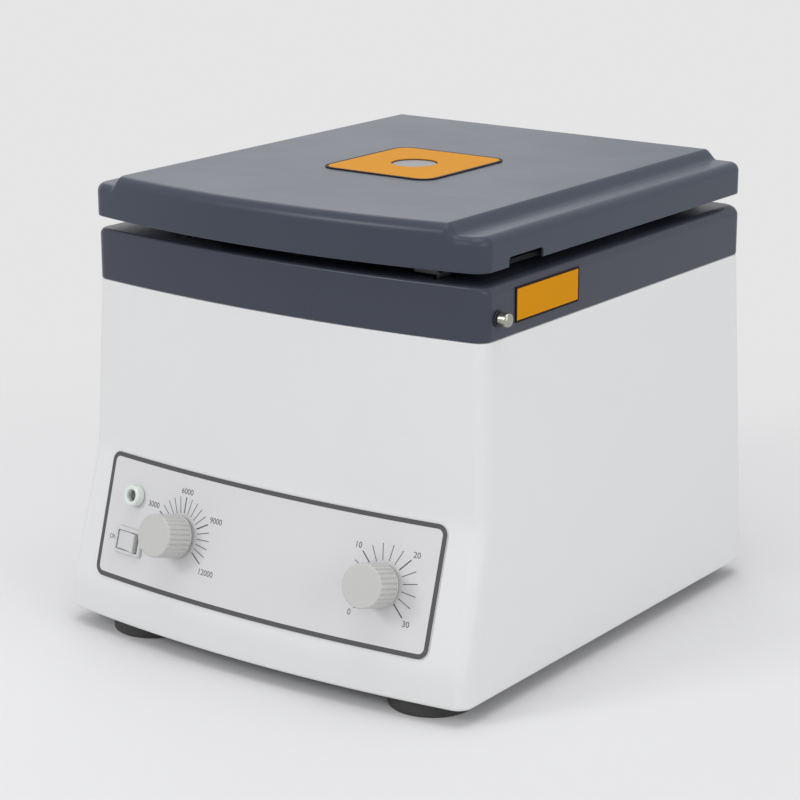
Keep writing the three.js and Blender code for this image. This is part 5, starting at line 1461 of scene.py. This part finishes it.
@dataclass
class Chamber:
    """Bowl, seal, rotor and all that turns with it."""

    axis: tuple[float, float] = (0.0, -12 * MM)
    bowl_radius: float = 105 * MM
    bowl_wall: float = 1.5 * MM
    bowl_floor: float = 150.1 * MM
    bowl_rim: float = 112 * MM
    rim_foot: float = 228.6 * MM
    floor_round: float = 8 * MM
    shaft_hole: float = 13 * MM
    seal_inner: float = 105.6 * MM
    seal_foot: float = 230.4 * MM
    seal_top: float = 234.3 * MM
    rotor_radius: float = 95 * MM
    rotor_floor: float = 186.1 * MM
    rotor_deck: float = 194.1 * MM
    rotor_top: float = 202.1 * MM
    rotor_rim: float = 5.5 * MM
    hub_radius: float = 14 * MM
    hub_drop: float = 12 * MM
    shaft_bore: float = 4.3 * MM
    slots: int = 24
    slot_inner: float = 17 * MM
    slot_outer: float = 85.9 * MM
    slot_width: float = 2.4 * MM
    slot_depth: float = 2.6 * MM
    slot_radius: float = 1.1 * MM
    seat_gap: float = 0.3 * MM  # between the deck and what rests on it
    cushion: tuple[float, float] = (86.2 * MM, 89.2 * MM)
    cushion_height: float = 5.5 * MM
    cover_foot: float = 202.4 * MM
    cover_top: float = 204.4 * MM
    cover_radius: float = 94 * MM
    cover_play: float = 0.1 * MM
    boss_radius: float = 12 * MM
    nut_foot: float = 204.7 * MM
    nut_radius: float = 13 * MM
    nut_height: float = 15 * MM
    nut_round: float = 1.6 * MM
    dish: tuple[float, float] = (8.4 * MM, 7.6 * MM)
    dish_depth: float = 0.7 * MM
    nut_flutes: int = 16
    nut_groove: float = 0.8 * MM
    nut_lip: float = 1 * MM
    stud: float = 4.4 * MM
    nut_roof: float = 3 * MM

    def ring(self, name: str, corners: Sequence[Sequence[float]], reach: float | Sequence[float],
             sides: int = 160, steps: int = 5) -> Object:
        """A closed turned piece about the rotor's axis, whose roundings reach so many millimetres."""
        return rounded(name, corners, reach, steps, sides, centre=self.axis, closed=True)

    def bowl(self, shop: Workshop, steel: Finish) -> None:
        """Makes the bowl with its rolled bends, and the rubber seal on its rim."""
        inner, outer, rim = self.bowl_radius, self.bowl_radius + self.bowl_wall, self.bowl_rim
        hole, floor, foot = self.shaft_hole, self.bowl_floor, self.rim_foot
        under, top = floor - self.bowl_wall, foot + self.bowl_wall
        corners = [[hole, under], [outer, under], [outer, foot], [rim, foot], [rim, top], [inner, top],
                   [inner, floor], [hole, floor]]
        bend = self.floor_round / MM
        bowl = self.ring("bowl", corners, [0.2, bend, 0.2, 0.3, 0.3, 1.2, bend - 1, 0.2], 192, 8)
        shop.dress(bowl, "case", steel, "chamber_bowl")
        inner, low, high = self.seal_inner, self.seal_foot, self.seal_top
        section = [[inner, low], [rim, low], [rim, high], [inner, high]]
        seal = self.ring("rim_seal", section, [0.3, 0.3, 2.4, 2.4])
        shop.dress(seal, "case", SEAL, "bowl_seal")

    def disc(self, shop: Workshop, alloy: Finish) -> None:
        """Makes the rotor's disc with its slots, and the rubber ring inside its rim."""
        bore, hub, outer = self.shaft_bore, self.hub_radius, self.rotor_radius
        floor, deck, top = self.rotor_floor, self.rotor_deck, self.rotor_top
        hub_foot, rim = floor - self.hub_drop, outer - self.rotor_rim
        corners = [[bore, hub_foot], [hub, hub_foot], [hub, floor], [outer, floor], [outer, top], [rim, top],
                   [rim, deck], [bore, deck]]
        body = self.ring("rotor_plate", corners, 0.4, 192, 3)
        half = (self.slot_outer - self.slot_inner) / 2
        centre, outwards = moved(*self.axis), moved(self.slot_inner + half, 0)
        tools = [
            plate("slot", half, self.slot_width / 2, self.slot_radius, deck - self.slot_depth, top,
                  centre @ Matrix.Rotation(2 * math.pi * i / self.slots, 4, "Z") @ outwards)
            for i in range(self.slots)
        ]
        shop.dress(work(body, tools), "rotor", alloy, "rotor_disc")
        (inner, outer), low = self.cushion, deck + self.seat_gap
        high = low + self.cushion_height
        section = [[inner, low], [outer, low], [outer, high], [inner, high]]
        shop.dress(self.ring("tube_ring", section, 0.6), "rotor", SEAL, "tube_cushion")

    def cover(self, shop: Workshop, alloy: Finish) -> None:
        """Makes the rotor's cover and the nut that holds it."""
        bore, boss, outer = self.shaft_bore + self.cover_play, self.boss_radius, self.cover_radius
        low, foot, top = self.rotor_deck + self.seat_gap, self.cover_foot, self.cover_top
        corners = [[bore, low], [boss, low], [boss, foot], [outer, foot], [outer, top], [bore, top]]
        lid = self.ring("rotor_lid", corners, [0.2, 0.3, 0.2, 0.3, 1.6, 0.2], 192)
        shop.dress(lid, "rotor_cover", alloy, "rotor_cover")
        outer, edge, foot = self.nut_radius, self.nut_round, self.nut_foot
        top = foot + self.nut_height
        roof, dip = top - self.nut_roof, top - self.dish_depth
        start = [[0, roof], [self.stud, roof], [self.stud, foot], [outer - self.nut_lip, foot]]
        side = [[outer, z] for z in np.linspace(foot + 0.8 * MM, top - edge * 1.6, 4)]
        dish = [[self.dish[0], top], [self.dish[1], dip], [0, dip]]
        profile = np.array([*start, *side, *shoulder(outer, top, edge, 5), *dish])
        share = np.concatenate([np.zeros(4), np.ones(4), [1, 0.8, 0.55, 0.3, 0.12, 0], np.zeros(3)])
        grid = fluted(profile, share, self.nut_flutes, self.nut_groove)
        nut = Skin().patch(grid, columns_meet=True).piece("cover_nut", moved(*self.axis))
        shop.dress(nut, "rotor_nut", BLACK, "rotor_nut", limit=40)

    def build(self, shop: Workshop) -> None:
        """Makes the chamber and finishes the drive below it."""
        centre_y = self.axis[1] + Skin.shift
        steel = spun("drawn_bowl", "stainless_steel", (186, 187, 188), 0.26, centre_y)
        alloy = spun("turned_alloy", "cast_aluminium", (190, 192, 195), 0.34, centre_y)
        self.bowl(shop, steel)
        self.disc(shop, alloy)
        self.cover(shop, alloy)
        shop.keep(CHROME, "motor_shaft", "upper_bearing", "lower_bearing")
        shop.keep(COPPER, "armature")
        shop.keep(ENAMEL, "motor_body", "motor_end_cap")
        shop.keep(ZINC, "motor_plate")
        shop.keep(SEAL, "motor_mount_1", "motor_mount_2", "motor_mount_3")


@dataclass
class Latch:
    """Release pin in the collar's right side, its guide and spring, the tongue, and the amber plate."""

    wall_x: float = 133 * MM
    y: float = -124.7 * MM
    z: float = 213 * MM
    reach: float = 7.6 * MM
    head_radius: float = 3.8 * MM
    head_length: float = 5.8 * MM
    stem_radius: float = 3.4 * MM
    stem_foot: float = 1.4 * MM
    shaft_radius: float = 2.4 * MM
    tip: float = -32.6 * MM
    stop_top: float = -27.1 * MM
    stop_length: float = 2 * MM
    stop_radius: float = 4.2 * MM
    bush_radius: float = 4.6 * MM
    bush_flange: float = 0.8 * MM
    sleeve_radius: float = 3.4 * MM
    sleeve_foot: float = -12.5 * MM
    spring_top: float = -12.8 * MM
    spring_length: float = 14 * MM
    spring_radius: float = 3.5 * MM
    wire: float = 0.45 * MM
    wire_sides: int = 10
    turns: int = 6
    travel: float = 6 * MM
    tongue_x: float = 98 * MM
    tongue_plate: float = 2 * MM
    tongue_half: float = 5 * MM
    tongue_foot: float = 203.2 * MM
    tongue_top: float = 234.3 * MM
    tongue_arm: float = 14 * MM
    arm_plate: float = 2.1 * MM
    strike: float = 3.6 * MM
    label_y: tuple[float, float] = (-109 * MM, -47.4 * MM)
    label_z: tuple[float, float] = (207.4 * MM, 226.6 * MM)
    label_radius: float = 1 * MM
    label_border: float = 1.2 * MM
    label_top: float = 0.7 * MM
    gap: float = 0.3 * MM  # between the wall and what lies on it
    running: float = 0.4 * MM

    def pin(self, shop: Workshop) -> None:
        """Makes the pin and its guide."""
        spot = side_spot(self.wall_x, self.y, self.z)
        shaft, stop, stem, head = self.shaft_radius, self.stop_radius, self.stem_radius, self.head_radius
        neck, top = self.reach - self.head_length, self.reach
        stop_foot, stop_top, foot = self.stop_top - self.stop_length, self.stop_top, self.stem_foot
        corners = [[0, self.tip], [shaft, self.tip], [shaft, stop_foot], [stop, stop_foot], [stop, stop_top],
                   [shaft, stop_top], [shaft, foot], [stem, foot], [stem, neck], [head, neck], [head, top],
                   [0, top]]
        reach = [0, 0.5, 0.2, 0.3, 0.3, 0.2, 0.2, 0.3, 0.2, 0.4, 1.8, 0]
        pin = rounded("pull_pin", corners, reach, 6, 48, spot)
        shop.dress(pin, "release_pin", NICKEL, "release_pin")
        bore, sleeve, rim = shaft + self.running, self.sleeve_radius, self.bush_radius
        foot, flange, face = self.sleeve_foot, self.gap, self.gap + self.bush_flange
        section = [[bore, foot], [sleeve, foot], [sleeve, flange], [rim, flange], [rim, face], [bore, face]]
        bush = rounded("pin_guide", section, [0.2, 0.3, 0.2, 0.2, 0.9, 0.3], 4, 48, spot, closed=True)
        shop.dress(bush, "case", BLACK, "release_bush")

    def spring(self, shop: Workshop) -> None:
        """Makes the coil: a wire circle carried along the helix (R cos a, R sin a, rising with a)."""
        foot = self.spring_top - self.spring_length + self.wire
        run = np.linspace(0, 1, self.turns * 24 + 1)[:, None]
        angle = run * 2 * math.pi * self.turns
        rise = self.spring_length - 2 * self.wire
        out = np.concatenate([np.cos(angle), np.sin(angle), 0 * angle], axis=1)
        way = out * self.spring_radius + run * [0, 0, rise] + [0, 0, foot]
        ahead = np.gradient(way, axis=0)
        ahead /= np.linalg.norm(ahead, axis=1, keepdims=True)
        across = np.cross(ahead, out)
        around = np.linspace(0, 2 * math.pi, self.wire_sides, endpoint=False)[None, :, None]
        ring = out[:, None] * np.cos(around) + across[:, None] * np.sin(around)
        tube = way[:, None] + ring * self.wire
        start, end = (np.tile(way[i], (1, self.wire_sides, 1)) for i in (0, -1))
        skin = Skin().patch(np.concatenate([start, tube, end]), columns_meet=True)
        coil = skin.piece("pin_spring", side_spot(self.wall_x, self.y, self.z))
        shop.dress(coil, "case", CHROME, "latch_spring", limit=60)
        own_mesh(coil)

    def tongue(self, shop: Workshop) -> None:
        """Makes the tongue: a bent strip with the hole that the pin holds."""
        inner, outer, end = self.tongue_x, self.tongue_x + self.tongue_plate, self.tongue_x - self.tongue_arm
        low, foot, top = self.tongue_foot, self.tongue_top - self.arm_plate, self.tongue_top
        corners = [[inner, low], [outer, low], [outer, top], [end, top], [end, foot], [inner, foot]]
        side = filleted(corners, np.array([0.5, 0.5, 2.0, 0.5, 0.5, 0.6]) * MM, 5)
        front, rear = self.y - self.tongue_half, self.y + self.tongue_half
        upright = Matrix(((1, 0, 0), (0, 0, -1), (0, 1, 0))).to_4x4()
        strip = prism("latch_strip", [level(side, -rear), level(side, -front)], upright)
        hole = bar(self.strike, -14 * MM, 14 * MM, side_spot(self.tongue_x, self.y, self.z))
        # The tongue's dark steel colour is painted shade for where it hangs inside the collar.
        shop.dress(work(strip, [hole]), "lid", SHADED_STEEL, "latch_tongue", bevel=0.25 * MM)

    def label(self, shop: Workshop) -> None:
        """Makes the amber plate beside the pin, with its printed border."""
        (front, rear), (low, high) = self.label_y, self.label_z
        half = (rear - front) / 2, (high - low) / 2
        foot, top = self.gap, self.label_top

        def outline(inset: float, height: float) -> Array:
            """Rounded rectangle drawn in."""
            radius = max(self.label_radius - inset, 0.4 * MM)
            return level(rounded_rectangle(half[0] - inset, half[1] - inset, radius), height)

        border = outline(self.label_border, top)
        under, middle = (np.tile([0, 0, height], (len(border), 1)) for height in (foot, top))
        rows = [under, outline(0, foot), outline(0, top - FILM_EDGE), outline(FILM_EDGE, top), border]
        skin = Skin().patch(np.stack(rows), columns_meet=True, tint=1)
        skin.patch(np.stack([border, middle]), columns_meet=True)
        piece = skin.piece("side_plate", side_spot(self.wall_x, front + half[0], low + half[1]))
        shop.dress(piece, "case", AMBER, "side_label", print_finish=AMBER_INK)

    def build(self, shop: Workshop) -> None:
        """Makes the latch."""
        self.pin(shop)
        self.spring(shop)
        self.tongue(shop)
        self.label(shop)


@dataclass
class Back:
    """Hinges, mains inlet and fuse holder."""

    shape: CaseShape
    hinge_x: float = 80 * MM
    hinge_y: float = 140.4 * MM
    hinge_z: float = 234.4 * MM
    half_length: float = 20 * MM
    knuckle: float = 3.5 * MM
    pin_radius: float = 1.5 * MM
    leaf: float = 2 * MM
    drop: float = 24 * MM
    rise: float = 17.5 * MM
    gap: float = 0.3 * MM
    running: float = 0.4 * MM
    lid_rear: float = 134.7 * MM
    screw_out: float = 12 * MM
    screw_up: float = 8 * MM
    bevel: float = 0.2 * MM
    inlet_x: float = 62 * MM
    fuse_x: float = 104 * MM
    outlet_z: float = 50 * MM
    mouth: float = 3 * MM
    flange_half: tuple[float, float] = (25 * MM, 12 * MM)
    body_half: tuple[float, float] = (13.6 * MM, 9.8 * MM)
    body_depth: float = 28 * MM
    socket_half: tuple[float, float] = (11.9 * MM, 8.1 * MM)
    socket_depth: float = 24 * MM
    blade_half: tuple[float, float] = (1.3 * MM, 2.3 * MM)
    blade_depth: float = 32 * MM
    blade_spots: tuple[tuple[float, float], ...] = ((-7, -1.5), (0, 3), (7, -1.5))  # millimetres
    holder_mouth: float = 2 * MM
    holder_depth: float = 30 * MM
    holder_base: float = 2 * MM
    cap_foot: float = 2.6 * MM
    cap_length: float = 6 * MM

    def along(self, x: float) -> Place:
        """Place on the hinge's axis: Z runs along +X."""
        return moved(x, self.hinge_y, self.hinge_z) @ Matrix.Rotation(QUARTER, 4, "Y")

    def barrel(self, radius: float, foot: float, top: float, x: float) -> Object:
        """A round bar on the hinge's axis."""
        return bar(radius, foot, top, self.along(x))

    def sheet(self, name: str, half_width: float, low: float, high: float, x: float,
              wall: float) -> Object:
        """An upright plate whose back lies against a wall."""
        place = back_spot(x, wall + self.gap, (low + high) / 2)
        return plate(name, half_width, (high - low) / 2, 1.5 * MM, 0, self.leaf, place)

    def holes(self, x: float, foot: float, wall: float) -> list[Object]:
        """Drills for the pin's bore and for two countersunk screws above the foot of a plate."""
        end = 2 * self.half_length
        bore = self.barrel(self.pin_radius + self.gap, -end, end, x)
        profile = np.array([[0, 0.8], [1.2, 0.8], [1.2, 1.2], [2.6, 2.6], [2.6, 4], [0, 4]]) * MM
        screws = [
            lathe("sink", profile, 24, back_spot(x + out, wall + self.gap, foot + self.screw_up))
            for out in (-self.screw_out, self.screw_out)
        ]
        return [bore, *screws]

    def hinge(self, shop: Workshop, side: str, x: float) -> None:
        """Makes one hinge: the collar's bracket, the lid's leaf and the pin through both."""
        half, third, height = self.half_length, self.half_length / 3, self.hinge_z
        room, reach = self.knuckle + self.running, third + self.running
        low, wall = height - self.drop, self.shape.half_depth
        bracket = self.sheet(f"hinge_{side}_bracket", half, low, height, x, wall)
        inwards = spot_matrix((1, 0, 0), (0, 0, 1), (0, -1, 0), (x, self.hinge_y - 0.5 * MM, height))
        clear = self.barrel(room, -reach, reach, x)
        slot = plate("slot", reach, room, 0.2 * MM, -room, room, inwards)
        knuckles = self.barrel(self.knuckle, -half, half, x)
        bracket = work(work(bracket, [knuckles], Cut.TOGETHER), [clear, slot, *self.holes(x, low, wall)])
        shop.dress(bracket, "case", ZINC, f"hinge_bracket_{side}", bevel=self.bevel)
        foot, wall = height + room, self.lid_rear
        leaf = self.sheet(f"hinge_{side}_leaf", half, foot, height + self.rise, x, wall)
        neck = self.sheet("neck", third, height, foot + 2 * self.leaf, x, wall)
        front = wall + self.gap
        arm = plate("arm", third, (self.hinge_y - front) / 2, 0.3 * MM, height, height + self.leaf,
                    moved(x, (self.hinge_y + front) / 2))
        middle = self.barrel(self.knuckle, -third, third, x)
        leaf = work(work(leaf, [neck, arm, middle], Cut.TOGETHER), self.holes(x, foot, wall))
        shop.dress(leaf, "lid", ZINC, f"hinge_leaf_{side}", bevel=self.bevel)
        corners = [[0, -half], [self.pin_radius, -half], [self.pin_radius, half], [0, half]]
        pin = rounded(f"hinge_{side}_rod", corners, 0.4, 4, 32, self.along(x))
        shop.dress(pin, "case", CHROME, f"hinge_pin_{side}")

    def inlet(self, shop: Workshop) -> None:
        """Makes the mains inlet: a flange with a deep socket for three blades."""
        spot = self.shape.rear_spot(self.inlet_x, self.outlet_z)
        foot, mouth = self.gap, self.gap + self.mouth
        flange = plate("mains_socket", *self.flange_half, 4 * MM, foot, mouth, spot, edge=0.8 * MM)
        body = plate("body", *self.body_half, 1 * MM, mouth - self.body_depth, foot + self.mouth / 2, spot)
        socket = plate("socket", *self.socket_half, 1.7 * MM, mouth - self.socket_depth,
                       mouth + 2 * self.mouth, spot)
        blades = [
            plate("blade", *self.blade_half, 0.2 * MM, mouth - self.blade_depth, mouth,
                  spot @ moved(x * MM, y * MM))
            for x, y in self.blade_spots
        ]
        profile = np.array([[0, 1.2], [1.5, 1.2], [1.5, 1.8], [3, 3.3], [3, 5], [0, 5]]) * MM
        sinks = [lathe("sink", profile, 32, spot @ moved(x * MM, 0)) for x in (-20, 20)]
        made = work(work(flange, [body], Cut.TOGETHER), [socket, *blades, *sinks])
        shop.dress(made, "case", BLACK, "mains_inlet", bevel=self.bevel)
        shop.keep(ZINC, "inlet_contacts")

    def fuse(self, shop: Workshop) -> None:
        """Makes the fuse holder and its cap with a finger slot."""
        spot = self.shape.rear_spot(self.fuse_x, self.outlet_z)
        mouth = self.gap + self.holder_mouth
        bore, tail, hole, flange = 4.6 * MM, 7 * MM, 2.3 * MM, 9 * MM
        end = mouth - self.holder_depth
        pit = end + self.holder_base
        section = [[bore, pit], [bore, mouth], [flange, mouth], [flange, self.gap], [tail, self.gap],
                   [tail, end], [hole, end], [hole, pit]]
        reach = [0.2, 0.4, 1.0, 0.2, 0.2, 0.5, 0.2, 0.2]
        holder = rounded("fuse_socket", section, reach, 4, 64, spot, closed=True)
        shop.dress(holder, "case", BLACK, "fuse_holder")
        foot, stem, grip = self.cap_foot, 4.2 * MM, 6.2 * MM
        low, top = foot - self.cap_length, foot + self.cap_length
        corners = [[0, low], [stem, low], [stem, foot], [grip, foot], [grip, top], [0, top]]
        cap = rounded("fuse_knob", corners, [0, 0.3, 0.2, 0.3, 0.9, 0], 5, 64, spot)
        slot = plate("slot", 12 * MM, 1 * MM, 0.3 * MM, top - 2 * MM, top + 6 * MM, spot)
        shop.dress(work(cap, [slot]), "fuse_cap", BLACK, "fuse_cap")
        shop.keep(CHROME, "fuse_link")

    def build(self, shop: Workshop) -> None:
        """Makes all that is on the back."""
        self.hinge(shop, "left", -self.hinge_x)
        self.hinge(shop, "right", self.hinge_x)
        self.inlet(shop)
        self.fuse(shop)


@dataclass
class Feet:
    """Four rubber feet with a hollow cup, and the screws in them."""

    spots: tuple[tuple[str, float, float], ...] = (
        ("front_left", -94 * MM, -138.5 * MM),
        ("front_right", 102.5 * MM, -138.5 * MM),
        ("rear_left", -94 * MM, 112 * MM),
        ("rear_right", 102.5 * MM, 112 * MM),
    )
    radius: float = 24 * MM
    top_radius: float = 22.5 * MM
    shoulder: float = 2.2 * MM
    top: float = 9.2 * MM
    cup_radius: float = 16 * MM
    cup_depth: float = 3.2 * MM
    bore_depth: float = 4.6 * MM
    head_radius: float = 4.6 * MM
    head_height: float = 3 * MM
    screw_radius: float = 2.2 * MM
    screw_tip: float = 16.5 * MM
    play: float = 0.3 * MM
    cross_half: tuple[float, float] = (2.4 * MM, 0.5 * MM)
    cross_turn: float = 0.3

    def build(self, shop: Workshop) -> None:
        """Makes every foot and screw."""
        deep, top, tip = self.bore_depth, self.top, self.screw_tip
        thread, head = self.screw_radius, self.head_radius
        bore, room = thread + self.play, head + self.play
        high = deep - self.play
        low = high - self.head_height
        corners = [[bore, deep], [room, deep], [room, self.cup_depth], [self.cup_radius, 0], [self.radius, 0],
                   [self.radius, top - self.shoulder], [self.top_radius, top], [bore, top]]
        outline = [[0, low], [head, low], [head, high], [thread, high], [thread, tip], [0, tip]]
        reach, soft = [0.2, 0.2, 0.4, 1.2, 0.9, 1.0, 0.5, 0.2], [0, 1.1, 0.3, 0.1, 0.4, 0]
        for name, x, y in self.spots:
            foot = rounded(f"rubber_{name}", corners, reach, 4, 96, centre=(x, y), closed=True)
            shop.dress(foot, "case", FOOT, f"foot_{name}")
            screw = rounded(f"screw_{name}", outline, soft, 4, 40, centre=(x, y))
            cross = [
                plate("cross", *self.cross_half, 0.1 * MM, low - 1 * MM, low + 1.5 * MM,
                      moved(x, y) @ Matrix.Rotation(turn, 4, "Z"))
                for turn in (self.cross_turn, self.cross_turn + QUARTER)
            ]
            shop.dress(work(screw, cross), "case", ZINC, f"foot_screw_{name}")
        shop.keep(ZINC, "base_plate")


@dataclass
class Studio:
    """Camera, pale floor, and soft light."""

    eye: tuple[float, float, float] = (0.803833, -1.139048, 0.512258)
    turn: tuple[float, float, float] = (QUARTER - 0.27475, 0, 0.6255)
    lens: float = 110.1
    sensor: float = 36
    reach: float = 100  # of the camera's view
    backdrop: tuple[float, float, float] = (229, 229, 230)
    paper: tuple[float, float, float] = (225, 225, 226)
    ambient: float = 0.79
    floor_rings: tuple[float, ...] = (0.0, 0.4, 0.8, 1.6, 4.0, 14.0)
    fade: tuple[float, float] = (0.3, 0.7)  # from the middle, where the floor turns into the backdrop
    aim: tuple[float, float, float] = (0, 0, 0.14)
    lamps: tuple[tuple[str, tuple[float, float, float], float, float], ...] = (
        ("overhead", (0.3, -0.2, 2.6), 1.8, 20),
        ("right", (2.6, -0.6, 1.0), 1.6, 17),
        ("front", (-1.2, -2.4, 1.6), 0.9, 21),
        ("back_left", (-1.8, 1.8, 1.8), 1.6, 8),
    )

    def shown(self, tree: Tree) -> Socket:
        """One for rays from the camera, a mirror or a window, zero for the rest."""
        path = add(tree, "LightPath").outputs
        seen = math_node(tree, "MAXIMUM", path["Is Camera Ray"], path["Is Glossy Ray"])
        return math_node(tree, "MAXIMUM", seen, path["Is Transmission Ray"])

    def lamp(self, name: str, spot: tuple[float, float, float], size: float, power: float) -> None:
        """Places a square soft lamp that looks at the object."""
        light = bpy.data.lights.new(name, "AREA")
        light.shape, light.size, light.energy = "SQUARE", size, power
        thing = bpy.data.objects.new(name, light)
        thing.location = spot
        thing.rotation_euler = (Vector(self.aim) - Vector(spot)).to_track_quat("-Z", "Y").to_euler()
        bpy.context.scene.collection.objects.link(thing)

    def floor(self) -> None:
        """Makes the floor: matt near the object, and fading to the plain backdrop further away."""
        rings = np.array([self.floor_rings, np.zeros(len(self.floor_rings))]).T
        floor = Skin().patch(turned(rings, 64), columns_meet=True).piece("studio_floor")
        made = bpy.data.materials.new("studio_paper")
        made.use_nodes = True
        tree = made.node_tree
        paper = tree.nodes["Principled BSDF"]
        paper.inputs["Base Color"].default_value = colour(*self.paper)
        paper.inputs["Roughness"].default_value = 0.9
        paper.inputs["Specular IOR Level"].default_value = 0.1
        away = vector_node(tree, "LENGTH", object_spot(tree), output="Value")
        near, far = self.fade
        fade = ranged(tree, away, {"From Min": near, "From Max": far}, interpolation_type="SMOOTHSTEP")
        glow = add(tree, "Emission", {"Color": colour(*self.backdrop), "Strength": 1.0})
        share = math_node(tree, "MULTIPLY", fade, self.shown(tree))
        both = add(tree, "MixShader", {0: share, 1: paper.outputs[0], 2: glow.outputs[0]})
        tree.links.new(both.outputs[0], tree.nodes["Material Output"].inputs["Surface"])
        floor.data.materials[0] = made

    def sky(self) -> None:
        """Sets the world: the backdrop where it shows, and a plain soft light elsewhere."""
        world = bpy.data.worlds.new("studio_world")
        bpy.context.scene.world = world
        world.use_nodes = True
        tree = world.node_tree
        back = tree.nodes["Background"]
        strength = ranged(tree, self.shown(tree), {"To Min": self.ambient, "To Max": 1.0})
        back.inputs["Color"].default_value = colour(*self.backdrop)
        tree.links.new(strength, back.inputs["Strength"])

    def build(self) -> None:
        """Sets up everything that isn't the object."""
        camera = bpy.data.cameras.new("camera")
        camera.lens, camera.sensor_width, camera.clip_end = self.lens, self.sensor, self.reach
        thing = bpy.data.objects.new("camera", camera)
        thing.location, thing.rotation_euler = Vector(self.eye) + Vector((0, Skin.shift, 0)), self.turn
        bpy.context.scene.collection.objects.link(thing)
        bpy.context.scene.camera = thing
        bpy.context.scene.view_settings.view_transform = "Standard"
        self.floor()
        self.sky()
        for lamp in self.lamps:
            self.lamp(*lamp)


def main() -> None:
    """Builds the object and the studio."""
    logging.basicConfig(level=logging.INFO, format="%(message)s")
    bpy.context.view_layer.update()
    shape = CaseShape()
    Skin.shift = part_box("upper_collar")[1].y - shape.half_depth
    shop = Workshop()
    panel, latch, back = Panel(shape), Latch(), Back(shape)
    housing = Housing(shape, panel, latch, back)
    for group in (housing, panel, Controls(panel), Lid(), Chamber(), latch, back, Feet()):
        group.build(shop)
    Studio().build()


if __name__ == "__main__":
    main()
